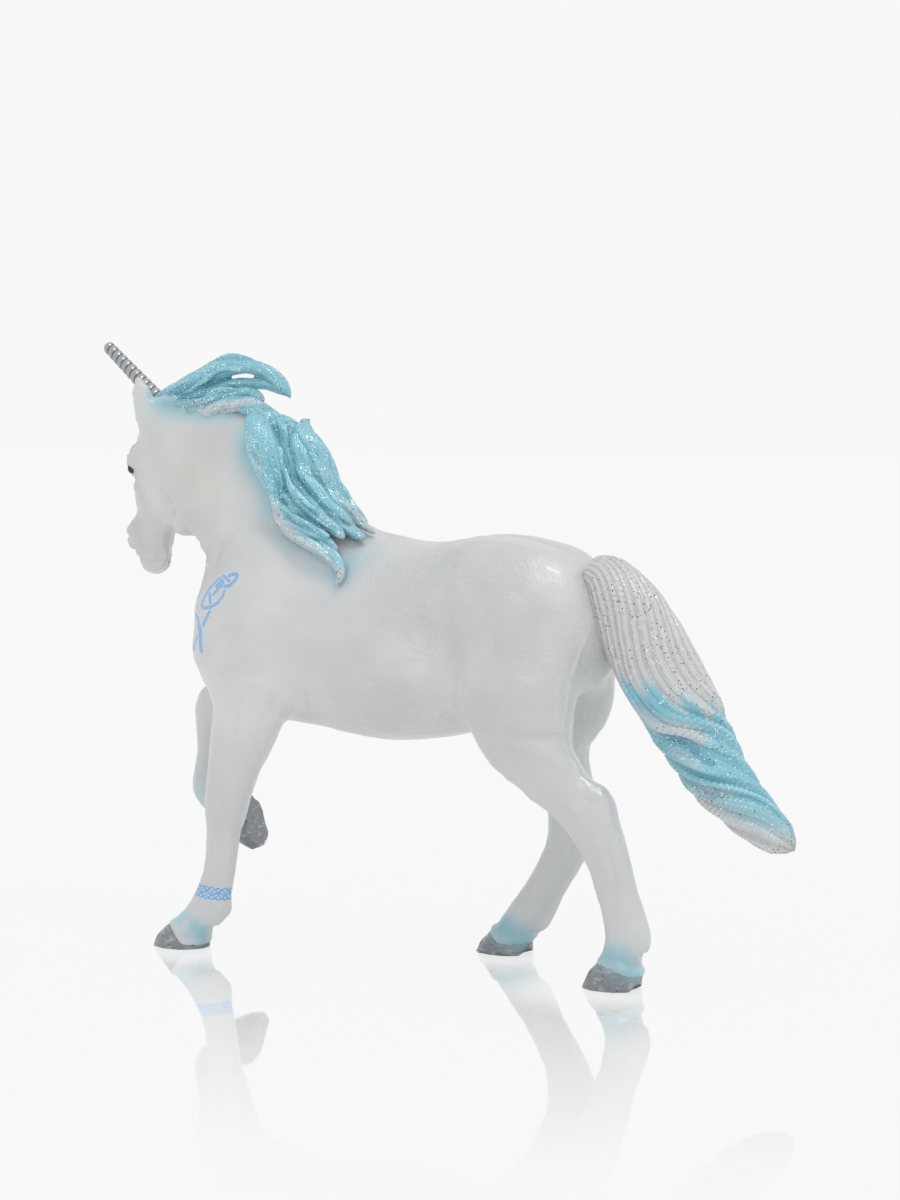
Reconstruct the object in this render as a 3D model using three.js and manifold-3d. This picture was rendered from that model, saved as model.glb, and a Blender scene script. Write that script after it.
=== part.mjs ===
// A prancing unicorn figurine, about 1:20, moulded in PVC pieces that plug together with keyed pegs and
// are glued. Millimetres, +Z up, standing on Z = 0. It faces -X and its left side is towards -Y.
import * as THREE from "three";
import { mergeVertices } from "three/addons/utils/BufferGeometryUtils.js";
import Module from "manifold-3d";

const wasm = await Module();
wasm.setup();

// Driving sizes of the trunk
const withersHeight = 77;
const withersReach = 14;
const croupHeight = 77.6;
const backHeight = 76.5;
const girthHeight = 41.5;
const bellyHeight = 39.6;
const flankHeight = 44;
const chestReach = 44.5;
const rumpReach = 35;
const barrelWidth = 28.5;
const rumpWidth = 27;
const chestWidth = 22;

// Driving sizes of the legs
const foreTrack = 21.5;
const hindTrack = 21.5;
const kneeHeight = 27;
const raisedKneeHeight = 43.5;
const hockHeight = 29.5;
const rightHockHeight = 25.5;
const fetlockHeight = 8.4;
const foreCannonDepth = 6.2;
const hindCannonDepth = 7.4;
const hoofLength = 11.2;
const hoofWidth = 9.4;
const hoofHeight = 4.6;

// Driving sizes of the neck and head
const pollHeight = 98;
const pollReach = 55.9;
const neckThickness = 12.5;
const headYaw = 20;
const headPitch = 5;
const headLength = 33.8;
const headDepth = 16.5;
const headWidth = 11;
const earLength = 10;

// Driving sizes of the tail and horn
const tailReach = 38.1;
const tailDrop = 44.8;
const hornLength = 21;
const hornBaseRadius = 1.4;
const hornTipRadius = 1;

// Joints between the mouldings
const seamGap = 0.25;
const pegClearance = 0.12;
const pegEndGap = 0.3;

// Sizes of the skins' facets
const torsoStep = 3.4;
const fineStep = 1.55;
const hairStep = 1.5;
const tailStep = 2.2;
const facetTolerance = 0.09;

const white = 0xf2f2f0;
const turquoise = 0x7fcbd9;
const silver = 0x8d9299;

const v3 = (x, y, z) => new THREE.Vector3(x, y, z);
const radians = THREE.MathUtils.degToRad;

// A solid's form is a signed distance, below zero inside. These join or carve two with a rounded seam.
const join = (a, b, round) => {
  const h = Math.max(round - Math.abs(a - b), 0) / round;
  return Math.min(a, b) - (h * h * round) / 4;
};
const carve = (a, b, round) => -join(-a, b, round);

// Distance to an ellipsoid, from an offset along its own axes and its half sizes.
function ellipsoidDistance(u, v, w, a, b, c) {
  const k0 = Math.hypot(u / a, v / b, w / c);
  const k1 = Math.hypot(u / (a * a), v / (b * b), w / (c * c));
  return k1 < 1e-9 ? -Math.min(a, b, c) : (k0 * (k0 - 1)) / k1;
}

// A limb: elliptical sections along a smooth curve. A station is [x, y, z, half depth, half width].
function limb(stations, side = v3(0, 1, 0), stepsPerStation = 4) {
  const centres = new THREE.CatmullRomCurve3(stations.map((s) => v3(s[0], s[1], s[2])), false, "centripetal");
  const count = (stations.length - 1) * stepsPerStation;
  const parts = [];
  for (let i = 0; i < count; i++) {
    const from = centres.getPoint(i / count);
    const to = centres.getPoint((i + 1) / count);
    const along = to.clone().sub(from);
    const length = along.length();
    along.divideScalar(length);
    const wide = side.clone().addScaledVector(along, -side.dot(along)).normalize();
    const deep = new THREE.Vector3().crossVectors(along, wide);
    const size = (share, k) => {
      const at = share * (stations.length - 1);
      const j = Math.min(Math.floor(at), stations.length - 2);
      const t = at - j;
      const smooth = t * t * (3 - 2 * t);
      return stations[j][k] + (stations[j + 1][k] - stations[j][k]) * (0.5 * t + 0.5 * smooth);
    };
    parts.push([
      from, along, length, wide, deep,
      size(i / count, 3), size((i + 1) / count, 3), size(i / count, 4), size((i + 1) / count, 4),
    ]);
  }
  return (x, y, z) => {
    let best = Infinity;
    for (const [from, along, length, wide, deep, a0, a1, b0, b1] of parts) {
      const dx = x - from.x;
      const dy = y - from.y;
      const dz = z - from.z;
      const reach = dx * along.x + dy * along.y + dz * along.z;
      const t = Math.min(Math.max(reach / length, 0), 1);
      const a = a0 + (a1 - a0) * t;
      const b = b0 + (b1 - b0) * t;
      const u = dx * deep.x + dy * deep.y + dz * deep.z;
      const v = dx * wide.x + dy * wide.y + dz * wide.z;
      best = Math.min(best, ellipsoidDistance(u, v, reach - t * length, a, b, (a + b) / 2));
    }
    return best;
  };
}

// A muscle or other lump: an ellipsoid at a centre, with half sizes, turned by Euler angles in degrees.
function lump(centre, sizes, turn = [0, 0, 0]) {
  const matrix = new THREE.Matrix4().makeRotationFromEuler(new THREE.Euler(...turn.map(radians), "ZYX"));
  const e = matrix.transpose().elements;
  return (x, y, z) => {
    const dx = x - centre[0];
    const dy = y - centre[1];
    const dz = z - centre[2];
    return ellipsoidDistance(
      e[0] * dx + e[4] * dy + e[8] * dz,
      e[1] * dx + e[5] * dy + e[9] * dz,
      e[2] * dx + e[6] * dy + e[10] * dz,
      ...sizes,
    );
  };
}

// The same form on both sides of the midplane.
const bothSides = (form) => (x, y, z) => Math.min(form(x, y, z), form(x, -y, z));

// A form built in a frame of its own, such as the head's.
function placed(form, matrix) {
  const e = matrix.clone().invert().elements;
  return (x, y, z) =>
    form(
      e[0] * x + e[4] * y + e[8] * z + e[12],
      e[1] * x + e[5] * y + e[9] * z + e[13],
      e[2] * x + e[6] * y + e[10] * z + e[14],
    );
}

// The head hangs on the poll. The neck and the mane reach from the poll back to the withers: a place on
// them is its share of that way, then y, then its rise over the poll.
const pollAt = v3(-pollReach, 3.2, pollHeight);
const nearPoll = (x, y, z) => [x + pollAt.x, y, z + pollAt.z];
const onNeck = (share, y, rise) => nearPoll((pollReach - withersReach) * share, y, rise);

// Trunk
const trunkStations = [
  [-chestReach + 7, 0, 61.5, 10.5, chestWidth * 0.41],
  [-32, 0, 60, 17, chestWidth / 2],
  [-20, 0, (withersHeight + girthHeight) / 2, (withersHeight - girthHeight) / 2, 12.5],
  [-6, 0, (backHeight + bellyHeight) / 2, (backHeight - bellyHeight) / 2, barrelWidth / 2],
  [5, 0, (backHeight + 41) / 2, (backHeight - 41) / 2, barrelWidth / 2],
  [15, 0, (croupHeight + flankHeight) / 2, (croupHeight - flankHeight) / 2, rumpWidth / 2],
  [23, 0, 61.6, 14.8, rumpWidth * 0.47],
  [rumpReach - 7, 0, 60.5, 12, rumpWidth * 0.38],
];
const trunk = limb(trunkStations);
const withers = lump([-withersReach, 0, withersHeight - 6.4], [13, 4, 6.4], [0, -4, 0]);
const breast = bothSides(lump([-chestReach + 7.6, -4.6, 59.5], [7, 5.2, 9], [0, 12, 0]));
const shoulderBlade = bothSides(lump([-27, -8.2, 63], [7.5, 4.2, 15], [0, -28, 0]));
const upperArm = bothSides(lump([-34, -8.6, 53], [10, 4.8, 7.5], [0, 38, 0]));
const croup = bothSides(lump([19, -6, 67], [13, 6.6, 9.5], [0, 12, 0]));
const buttock = bothSides(lump([rumpReach - 9, -6.2, 62], [8.4, 6.2, 12], [0, 4, 0]));
const flankHollow = bothSides(lump([8.5, -16, 58], [3.6, 3.4, 8], [0, -18, 0]));

// Hoof: sections parallel to the sole, from the sole's ellipse up to the coronet's, which is set back.
function hoof(matrix) {
  const setBack = 1.9;
  const form = (x, y, z) => {
    const t = Math.min(Math.max(z / hoofHeight, -0.3), 1.15);
    const a = (hoofLength / 2) * (1 - 0.24 * t);
    const b = (hoofWidth / 2) * (1 - 0.2 * t);
    const rim = ellipsoidDistance(x - setBack * t, y, 0, a, b, 1);
    return Math.max(rim, z - hoofHeight - 0.12 * (-x), -z - 1);
  };
  return placed(form, matrix);
}

// Fore legs. The left one stands; the right one is raised, its knee up and its hoof folded back.
const foreY = foreTrack / 2;
const leftForearm = limb([
  [-30.3, -8.6, 49, 8, 5.2],
  [-32.2, -foreY + 1.2, 41.5, 6.6, 4.8],
  [-34.4, -foreY + 0.8, 34, 5, 4],
  [-35.7, -foreY + 0.4, kneeHeight, 4.2, 3.8],
  [-36.2, -foreY + 0.3, kneeHeight - 4.5, 3.4, 2.9],
  [-36.9, -foreY + 0.1, 16, foreCannonDepth / 2, 2.5],
  [-37.9, -foreY, 11.6, foreCannonDepth / 2 + 0.2, 2.7],
  [-38.8, -foreY, fetlockHeight, 3.8, 3.4],
  [-41.6, -foreY, 5.4, 3.4, 3.3],
  [-43.5, -foreY, 3.2, 3.4, 3.6],
]);
const leftForeHoof = hoof(new THREE.Matrix4().makeTranslation(-45.4, -foreY, 0));
const raisedKnee = [-49.4, foreY - 1.6, raisedKneeHeight];
const rightForearm = limb([
  [-29, 8, 49.5, 7.2, 5],
  [-36, 8.6, 47.2, 6.2, 4.8],
  [-43, 9, 45.2, 4.9, 4.2],
  [...raisedKnee, 4.2, 3.9],
  [-50.3, 9.1, 39, 3.4, 3],
  [-50.6, 9.1, 34, foreCannonDepth / 2, 2.5],
  [-51, 9, 30.6, foreCannonDepth / 2 + 0.1, 2.7],
  [-50.9, 9, 27.4, 3.7, 3.4],
  [-48.4, 8.9, 24.4, 3.3, 3.2],
  [-45.6, 8.8, 22.6, 3.3, 3.5],
]);
const raisedHoofAt = new THREE.Matrix4()
  .makeTranslation(-41.7, 8.8, 20.9)
  .multiply(new THREE.Matrix4().makeRotationY(radians(-104)));
const rightForeHoof = hoof(raisedHoofAt);

// Hind legs. The left one trails, the right one steps under the belly.
const hindY = hindTrack / 2;
const leftThigh = bothSides(lump([24, -9, 53], [9.5, 6, 14], [0, -14, 0]));
const leftHind = limb([
  [22, -8.6, 53, 11.5, 5.6],
  [24.4, -9.6, 44.5, 9, 5.4],
  [29.4, -hindY + 0.6, 37.4, 6.1, 4.4],
  [34.8, -hindY + 0.2, 32.4, 4.7, 3.7],
  [38.4, -hindY, hockHeight - 0.8, 4.7, 3.9],
  [41.4, -hindY, 22.6, 4, 3.1],
  [43.1, -hindY, 17, hindCannonDepth / 2, 2.8],
  [44.6, -hindY, 12.4, hindCannonDepth / 2 + 0.2, 3],
  [45.4, -hindY, fetlockHeight + 0.3, 4.1, 3.6],
  [44, -hindY, 5, 3.6, 3.4],
  [43, -hindY, 2.6, 3.6, 3.7],
]);
const leftHockPoint = lump([40.2, -hindY, hockHeight + 2.6], [2.2, 2.3, 3.4], [0, -20, 0]);
const leftHindHoof = hoof(new THREE.Matrix4().makeTranslation(42.4, -hindY, 0));
const rightHind = limb([
  [20, 8.6, 54, 11.5, 5.6],
  [20.5, 9.4, 45, 8.2, 5.4],
  [22.6, hindY - 0.8, 37, 5.6, 4.4],
  [24.8, hindY - 0.4, 30.4, 4.8, 3.8],
  [25.4, hindY - 0.2, rightHockHeight - 0.6, 4.8, 3.9],
  [23.7, hindY, 19.6, 4, 3.1],
  [20.8, hindY, 14.4, hindCannonDepth / 2, 2.8],
  [18.5, hindY, 10.4, hindCannonDepth / 2 + 0.2, 3],
  [16.9, hindY, fetlockHeight - 0.6, 4.1, 3.6],
  [14.2, hindY, 5, 3.6, 3.4],
  [12.8, hindY, 2.8, 3.6, 3.7],
]);
const rightHockPoint = lump([28.2, hindY - 0.2, rightHockHeight + 2], [2.2, 2.3, 3.4], [0, 8, 0]);
const rightHindHoof = hoof(new THREE.Matrix4().makeTranslation(11.4, hindY, 0));

// Neck
const neck = limb([
  [-25, 0, 66, 16, 9.5],
  [-29.5, 0.2, 74, 15, 8.2],
  [...onNeck(0.532, 0.8, -16), 13.2, neckThickness / 2 + 0.4],
  [...onNeck(0.413, 1.6, -8.6), 11.2, neckThickness / 2],
  [...onNeck(0.26, 2.4, -3.6), 8.6, neckThickness / 2 - 0.5],
  [...onNeck(0.126, 3, -2.4), 6.4, 5],
]);

// The head's own frame: x forward out of the face, y to the animal's left, z up its length to the poll.
const headFrame = new THREE.Matrix4()
  .makeTranslation(pollAt.x, pollAt.y, pollAt.z)
  .multiply(new THREE.Matrix4().makeRotationZ(radians(180 - headYaw)))
  .multiply(new THREE.Matrix4().makeRotationY(radians(-headPitch)));
const half = headDepth / 2;
const skull = limb([
  [-0.5, 0, 0.6, 5.4, headWidth * 0.4],
  [0.2, 0, -4.6, half - 0.8, headWidth * 0.46],
  [0.2, 0, -9, half - 0.2, headWidth * 0.46],
  [1.1, 0, -13.4, half - 1.4, headWidth * 0.38],
  [2.2, 0, -17.8, half - 3.2, headWidth * 0.31],
  [3, 0, -22.4, half - 4, headWidth * 0.29],
  [2.8, 0, -headLength + 7, 3.4, 2.9],
]);
const cheek = bothSides(lump([-3, 2.8, -9.6], [4.8, 2.3, 6.2], [0, -14, 0]));
const brow = bothSides(lump([5.4, 3.6, -7], [2.6, 1.7, 2.6]));
const eyeball = bothSides(lump([5.7, 4.3, -8.6], [1.2, 0.9, 1]));
const noseBridge = lump([5.6, 0, -15], [2, 2, 7.4], [0, 4, 0]);
const nostrilWing = bothSides(lump([6.2, 2.4, -21.6], [1.7, 1.5, 2.3]));
const nostril = bothSides(lump([7.4, 3.2, -22], [0.9, 1, 1.3], [0, 0, -20]));
const chin = lump([-0.3, 0, -headLength + 7.4], [2.4, 2.3, 2.6]);
const ear = (side, tip) =>
  limb([
    [1.8, 3.1 * side, -2, 2.4, 1.6],
    [2.9, 3.9 * side, 1.4, 2.9, 1.8],
    [(2.9 + tip[0]) / 2 + 0.3, (3.9 * side + tip[1]) / 2, tip[2] - 2.6, 2.6, 1.5],
    [...tip, 1.2, 0.9],
  ]);
const leftEar = ear(1, [4.2, 4.8, earLength - 2.8]);
const rightEar = ear(-1, [4, -6.4, earLength - 4.8]);
const headForm = (x, y, z) => {
  let d = skull(x, y, z);
  d = join(d, cheek(x, y, z), 1.6);
  d = join(d, noseBridge(x, y, z), 1.6);
  d = join(d, brow(x, y, z), 1.4);
  d = join(d, nostrilWing(x, y, z), 1.2);
  d = join(d, chin(x, y, z), 1.2);
  d = join(d, Math.min(leftEar(x, y, z), rightEar(x, y, z)), 1.2);
  d = carve(d, nostril(x, y, z), 0.5);
  return Math.min(d, eyeball(x, y, z));
};
const head = placed(headForm, headFrame);
const throat = lump(nearPoll(8.3, 1.4, -16.6), [5.6, 4.6, 5.4], [0, 20, 0]);

// The whole white body as one form, before it is parted into its mouldings.
function body(x, y, z) {
  let d = trunk(x, y, z);
  d = join(d, withers(x, y, z), 5);
  d = join(d, neck(x, y, z), 7);
  d = join(d, breast(x, y, z), 3.5);
  d = join(d, shoulderBlade(x, y, z), 4);
  d = join(d, upperArm(x, y, z), 3.5);
  d = join(d, croup(x, y, z), 5);
  d = join(d, buttock(x, y, z), 4);
  d = carve(d, flankHollow(x, y, z), 4);
  d = join(d, join(leftForearm(x, y, z), leftForeHoof(x, y, z), 0.8), 3);
  d = join(d, join(rightForearm(x, y, z), rightForeHoof(x, y, z), 0.8), 2.2);
  d = join(d, leftThigh(x, y, z), 4);
  d = join(d, join(join(leftHind(x, y, z), leftHockPoint(x, y, z), 2), leftHindHoof(x, y, z), 0.8), 3);
  d = join(d, join(join(rightHind(x, y, z), rightHockPoint(x, y, z), 2), rightHindHoof(x, y, z), 0.8), 3);
  d = join(d, throat(x, y, z), 3);
  return join(d, head(x, y, z), 2.4);
}

// Grid lines from low to high, the step given for each place between them.
function gridLines(low, high, step) {
  const lines = [];
  for (let at = low; at < high + step(at); at += step(at)) lines.push(at);
  return lines;
}

// A grid cell's corners, its edges as pairs of corners, and its faces as rings of four corners.
const cellCorners = [[0, 0, 0], [1, 0, 0], [0, 1, 0], [1, 1, 0], [0, 0, 1], [1, 0, 1], [0, 1, 1], [1, 1, 1]];
const cellEdges = [
  [0, 1], [2, 3], [4, 5], [6, 7], [0, 2], [1, 3],
  [4, 6], [5, 7], [0, 4], [1, 5], [2, 6], [3, 7],
];
const cellFaces = [[0, 1, 3, 2], [4, 5, 7, 6], [0, 1, 5, 4], [2, 3, 7, 6], [0, 2, 6, 4], [1, 3, 7, 5]];
const edgeBetween = (a, b) => cellEdges.findIndex(([p, q]) => (p === a && q === b) || (p === b && q === a));
const faceEdges = cellFaces.map((ring) => ring.map((corner, n) => edgeBetween(corner, ring[(n + 1) % 4])));

// The separate patches of surface in a cell, each as the cell edges that it crosses.
function patchesOf(v) {
  const crossed = cellEdges.map(([a, b]) => v[a] < 0 !== v[b] < 0);
  const patch = cellEdges.map((edge, n) => n);
  const merge = (a, b) => {
    const from = patch[b];
    patch.forEach((p, n) => {
      if (p === from) patch[n] = patch[a];
    });
  };
  faceEdges.forEach((ring, f) => {
    const cut = ring.filter((edge) => crossed[edge]);
    if (cut.length === 2) merge(cut[0], cut[1]);
    if (cut.length === 4)
      cellFaces[f].forEach((corner, n) => {
        if (v[corner] < 0) merge(ring[n], ring[(n + 3) % 4]);
      });
  });
  const groups = new Map();
  crossed.forEach((yes, n) => {
    if (yes) groups.set(patch[n], [...(groups.get(patch[n]) ?? []), n]);
  });
  return [...groups.values()];
}

// Skin of a form inside a box: a vertex for each patch of surface in each grid cell, moved onto it.
function skin(form, low, high, step) {
  const lines = [0, 1, 2].map((k) => gridLines(low[k] - 1.5 * step(low[k], k), high[k], (at) => step(at, k)));
  const size = lines.map((line) => line.length - 1);
  const boxed = (x, y, z) =>
    Math.max(form(x, y, z), low[0] - x, x - high[0], low[1] - y, y - high[1], low[2] - z, z - high[2]);
  const index = (i, j, k) => (k * (size[1] + 1) + j) * (size[0] + 1) + i;
  const value = new Float64Array((size[0] + 1) * (size[1] + 1) * (size[2] + 1));
  lines[2].forEach((z, k) =>
    lines[1].forEach((y, j) =>
      lines[0].forEach((x, i) => {
        value[index(i, j, k)] = boxed(x, y, z);
      }),
    ),
  );
  const vertexOf = new Map();
  const positions = [];
  const nudge = 0.01;
  const ontoSurface = (p, cell) => {
    for (let pass = 0; pass < 3; pass++) {
      const d = boxed(...p);
      const slope = [0, 1, 2].map((k) => {
        const q = [...p];
        q[k] += nudge;
        return (boxed(...q) - d) / nudge;
      });
      const steep = Math.max(slope[0] ** 2 + slope[1] ** 2 + slope[2] ** 2, 0.2);
      for (let k = 0; k < 3; k++) {
        const moved = p[k] - (d * slope[k]) / steep;
        p[k] = Math.min(Math.max(moved, lines[k][cell[k]]), lines[k][cell[k] + 1]);
      }
    }
    return p;
  };
  for (let k = 0; k < size[2]; k++)
    for (let j = 0; j < size[1]; j++)
      for (let i = 0; i < size[0]; i++) {
        const cell = [i, j, k];
        const v = cellCorners.map((c) => value[index(i + c[0], j + c[1], k + c[2])]);
        for (const patch of patchesOf(v)) {
          const sum = [0, 0, 0];
          for (const edge of patch) {
            const [a, b] = cellEdges[edge];
            const t = v[a] / (v[a] - v[b]);
            for (let n = 0; n < 3; n++) {
              sum[n] += cellCorners[a][n] + (cellCorners[b][n] - cellCorners[a][n]) * t;
            }
          }
          const p = sum.map((total, n) => {
            const from = lines[n][cell[n]];
            return from + ((lines[n][cell[n] + 1] - from) * total) / patch.length;
          });
          for (const edge of patch) vertexOf.set(index(i, j, k) * 12 + edge, positions.length / 3);
          positions.push(...ontoSurface(p, cell));
        }
      }
  const triangles = [];
  const span = (a, b) => Math.hypot(...[0, 1, 2].map((n) => positions[3 * a + n] - positions[3 * b + n]));
  const quad = (a, b, c, d) => {
    if (span(a, c) < span(b, d)) triangles.push([a, b, c], [a, c, d]);
    else triangles.push([a, b, d], [b, c, d]);
  };
  for (let k = 1; k < size[2]; k++)
    for (let j = 1; j < size[1]; j++)
      for (let i = 1; i < size[0]; i++) {
        const here = value[index(i, j, k)] < 0;
        let axisEdge;
        const cellAt = (di, dj, dk) => {
          const cell = index(i - di, j - dj, k - dk);
          return vertexOf.get(cell * 12 + axisEdge(di, dj, dk));
        };
        if (here !== value[index(i + 1, j, k)] < 0) {
          axisEdge = (di, dj, dk) => dj + 2 * dk;
          const q = [cellAt(0, 1, 1), cellAt(0, 0, 1), cellAt(0, 0, 0), cellAt(0, 1, 0)];
          quad(...(here ? q : q.reverse()));
        }
        if (here !== value[index(i, j + 1, k)] < 0) {
          axisEdge = (di, dj, dk) => 4 + di + 2 * dk;
          const q = [cellAt(1, 0, 1), cellAt(1, 0, 0), cellAt(0, 0, 0), cellAt(0, 0, 1)];
          quad(...(here ? q : q.reverse()));
        }
        if (here !== value[index(i, j, k + 1)] < 0) {
          axisEdge = (di, dj) => 8 + di + 2 * dj;
          const q = [cellAt(1, 1, 0), cellAt(0, 1, 0), cellAt(0, 0, 0), cellAt(1, 0, 0)];
          quad(...(here ? q : q.reverse()));
        }
      }
  const facets = new Uint32Array(largestBody(triangles).flat());
  return solidOf(new Float32Array(positions), facets).simplify(facetTolerance);
}

// The triangles of the largest connected body.
function largestBody(triangles) {
  const leader = new Map();
  const find = (a) => {
    while (leader.get(a) !== a) {
      leader.set(a, leader.get(leader.get(a)));
      a = leader.get(a);
    }
    return a;
  };
  for (const vertex of triangles.flat()) leader.set(vertex, vertex);
  for (const [a, b, c] of triangles) {
    leader.set(find(a), find(b));
    leader.set(find(b), find(c));
  }
  const count = new Map();
  for (const [a] of triangles) count.set(find(a), (count.get(find(a)) ?? 0) + 1);
  const largest = [...count].sort((a, b) => b[1] - a[1])[0][0];
  return triangles.filter(([a]) => find(a) === largest);
}

const solidOf = (vertProperties, triVerts) =>
  new wasm.Manifold(new wasm.Mesh({ numProp: 3, vertProperties, triVerts }));

// A three.js geometry, placed by a matrix, as a solid that can be cut and joined.
function solid(geometry, matrix = new THREE.Matrix4()) {
  const bare = geometry.index ? geometry.toNonIndexed() : geometry.clone();
  bare.deleteAttribute("normal");
  bare.deleteAttribute("uv");
  const merged = mergeVertices(bare.applyMatrix4(matrix), 1e-4);
  return solidOf(new Float32Array(merged.attributes.position.array), new Uint32Array(merged.index.array));
}

function geometryOf(made) {
  const mesh = made.getMesh();
  return new THREE.BufferGeometry()
    .setAttribute("position", new THREE.BufferAttribute(new Float32Array(mesh.vertProperties), 3))
    .setIndex(new THREE.BufferAttribute(new Uint32Array(mesh.triVerts), 1));
}

const figure = new THREE.Group();
function add(name, made, colour, roughness = 0.45, metalness = 0) {
  const mesh = new THREE.Mesh(
    geometryOf(made),
    new THREE.MeshStandardMaterial({ color: colour, roughness, metalness, flatShading: true }),
  );
  mesh.name = name;
  figure.add(mesh);
}

// Everything on the far side of a plane, as a box so large that its other faces are out of the way.
const far = 320;
function beyond(point, normal) {
  const n = v3(...normal).normalize();
  const turn = new THREE.Quaternion().setFromUnitVectors(v3(0, 0, 1), n);
  const centre = v3(...point).addScaledVector(n, far / 2);
  const matrix = new THREE.Matrix4().compose(centre, turn, v3(1, 1, 1));
  return solid(new THREE.BoxGeometry(far, far, far), matrix);
}

// A piece's room: what lies beyond all its seam planes, each moved out by a margin.
const room = (planes, margin) =>
  planes
    .map(([point, normal]) => {
      const n = v3(...normal).normalize();
      return beyond([point[0] - n.x * margin, point[1] - n.y * margin, point[2] - n.z * margin], normal);
    })
    .reduce((a, b) => a.intersect(b));

// A bar along a line. A six-sided one is a peg or its socket.
function bar(from, to, radius, sides = 6) {
  const a = v3(...from);
  const b = v3(...to);
  const turn = new THREE.Quaternion().setFromUnitVectors(v3(0, 1, 0), b.clone().sub(a).normalize());
  const matrix = new THREE.Matrix4().compose(a.clone().add(b).multiplyScalar(0.5), turn, v3(1, 1, 1));
  return solid(new THREE.CylinderGeometry(radius, radius, a.distanceTo(b), sides), matrix);
}

// A peg stands on its own piece at a point and runs into the neighbour's socket.
function peg(at, into, radius, length, root) {
  const d = v3(...into).normalize();
  const along = (distance) => v3(...at).addScaledVector(d, distance).toArray();
  return {
    male: bar(along(-root), along(length), radius),
    female: bar(along(-root), along(length + pegEndGap), radius + pegClearance),
  };
}

const ground = beyond([0, 0, 0], [0, 0, 1]);

// Seams of the legs and the neck. The first plane carries the peg, and the others keep the cut off the
// neighbouring pieces.
const foreSeam = { point: [-32, -3, 42], normal: [0, -0.68, -0.73] };
const raisedSeam = { point: [-41.6, 9, 45.8], normal: [-0.97, 0, -0.25] };
const neckSeam = { point: [-30, 0, 75], normal: [-0.47, 0, 0.88] };
const leftForePlanes = [
  [foreSeam.point, foreSeam.normal],
  [[-21, 0, 0], [-1, 0, 0]],
  [[0, -1, 0], [0, -1, 0]],
];
const rightForePlanes = [
  [raisedSeam.point, raisedSeam.normal],
  [[0, 3.4, 0], [0, 1, 0]],
  [[-42, 0, 51], [-0.23, 0, -0.97]],
];
const hindPlanes = (side) => [
  [[25, 2 * side, 45.5], [0, 0.63 * side, -0.77]],
  [[10.5, 0, 44], [1, 0, -0.32]],
  [[0, 0.15 * side, 0], [0, side, 0]],
];
const leftHindPlanes = hindPlanes(-1);
const rightHindPlanes = hindPlanes(1);
const neckPlanes = [[neckSeam.point, neckSeam.normal]];

const leftForePeg = peg([-31, -8.5, 47.1], [0, 0.68, 0.73], 2.6, 6, 3);
const rightForePeg = peg([-41.6, 9, 45.7], [0.97, -0.05, 0.22], 2.2, 7, 3);
const leftHindPeg = peg([23, -9.5, 51.6], [0, 0.63, 0.77], 3, 6, 3);
const rightHindPeg = peg([22, 9.5, 51.6], [0, -0.63, 0.77], 3, 6, 3);
const neckPeg = peg([-29, 0.3, 75.5], [0.47, 0, -0.88], 4, 8, 3);

// Mane and forelock. A strand is round in section: stations of a place on the neck and a radius.
const strand = (stations) =>
  limb(stations.map(([share, y, rise, r]) => [...onNeck(share, y, rise), r, r]), v3(0.1, 1, 0.2), 3);
const lock = (strands, round) => {
  const forms = strands.map(strand);
  return (x, y, z) => forms.reduce((d, form) => join(d, form(x, y, z), round), 99);
};
const clearOf = (form, ...others) => (x, y, z) =>
  Math.max(form(x, y, z), ...others.map((other) => seamGap - other(x, y, z)));

const leftManeForm = lock([
  [
    [0.535, -3.2, -0.2, 2], [0.532, -5.4, -3.8, 2.8], [0.57, -6.4, -8, 3.1], [0.632, -6.8, -11.5, 2.8],
    [0.685, -7.6, -15, 2.5], [0.761, -8.4, -18.4, 2.3], [0.869, -9, -21.1, 2.1], [0.959, -9.6, -23.6, 1.8],
    [1.026, -10.6, -26.5, 1.3], [1.053, -12, -29.4, 0.5],
  ],
  [
    [0.594, -2.6, 0.4, 2], [0.618, -4.8, -4, 2.5], [0.647, -5.6, -8, 2.5], [0.69, -6.4, -12, 2.3],
    [0.747, -7.2, -15.4, 2.1], [0.857, -7.8, -18.6, 1.9], [0.952, -8, -21.2, 1.6], [1.033, -8.4, -23, 0.8],
  ],
  [
    [0.666, -1.8, -0.4, 2], [0.702, -3.6, -5.5, 2.2], [0.723, -5, -10, 2], [0.771, -6, -14, 2],
    [0.847, -6.6, -16.8, 1.9], [0.962, -6.6, -19, 1.5], [1.057, -6.8, -21, 0.6],
  ],
], 0.8);
const crestManeForm = lock([
  [
    [0.714, -1, -2, 1.9], [0.752, -2.8, -6.6, 1.9], [0.79, -4, -10.4, 1.8], [0.833, -4.8, -13.8, 1.7],
    [0.909, -5.2, -16.4, 1.5], [0.995, -5.2, -18.6, 0.6],
  ],
  [
    [0.728, 0, -2.2, 2.4], [0.78, -1, -6, 2.3], [0.823, -2, -9.6, 2.1], [0.871, -3, -13, 1.9],
    [0.938, -3.6, -16, 1.6], [1.029, -3.8, -18.6, 1.2], [1.1, -3.8, -20.1, 0.5],
  ],
  [
    [0.594, 1.4, 0.8, 2], [0.69, 1.8, -2.4, 2.4], [0.776, 1.6, -5.4, 2.6], [0.823, 1.2, -8.8, 2.4],
    [0.871, 0.8, -12, 2.1], [0.938, 0.6, -15.4, 1.7], [1.019, 0.2, -18, 1.2], [1.105, 0, -19.6, 0.5],
  ],
  [[0.714, 2.8, -3.2, 1.3], [0.723, 2.6, -1.4, 1.3], [0.73, 2.4, -0.6, 1.1]],
], 0.8);
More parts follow.
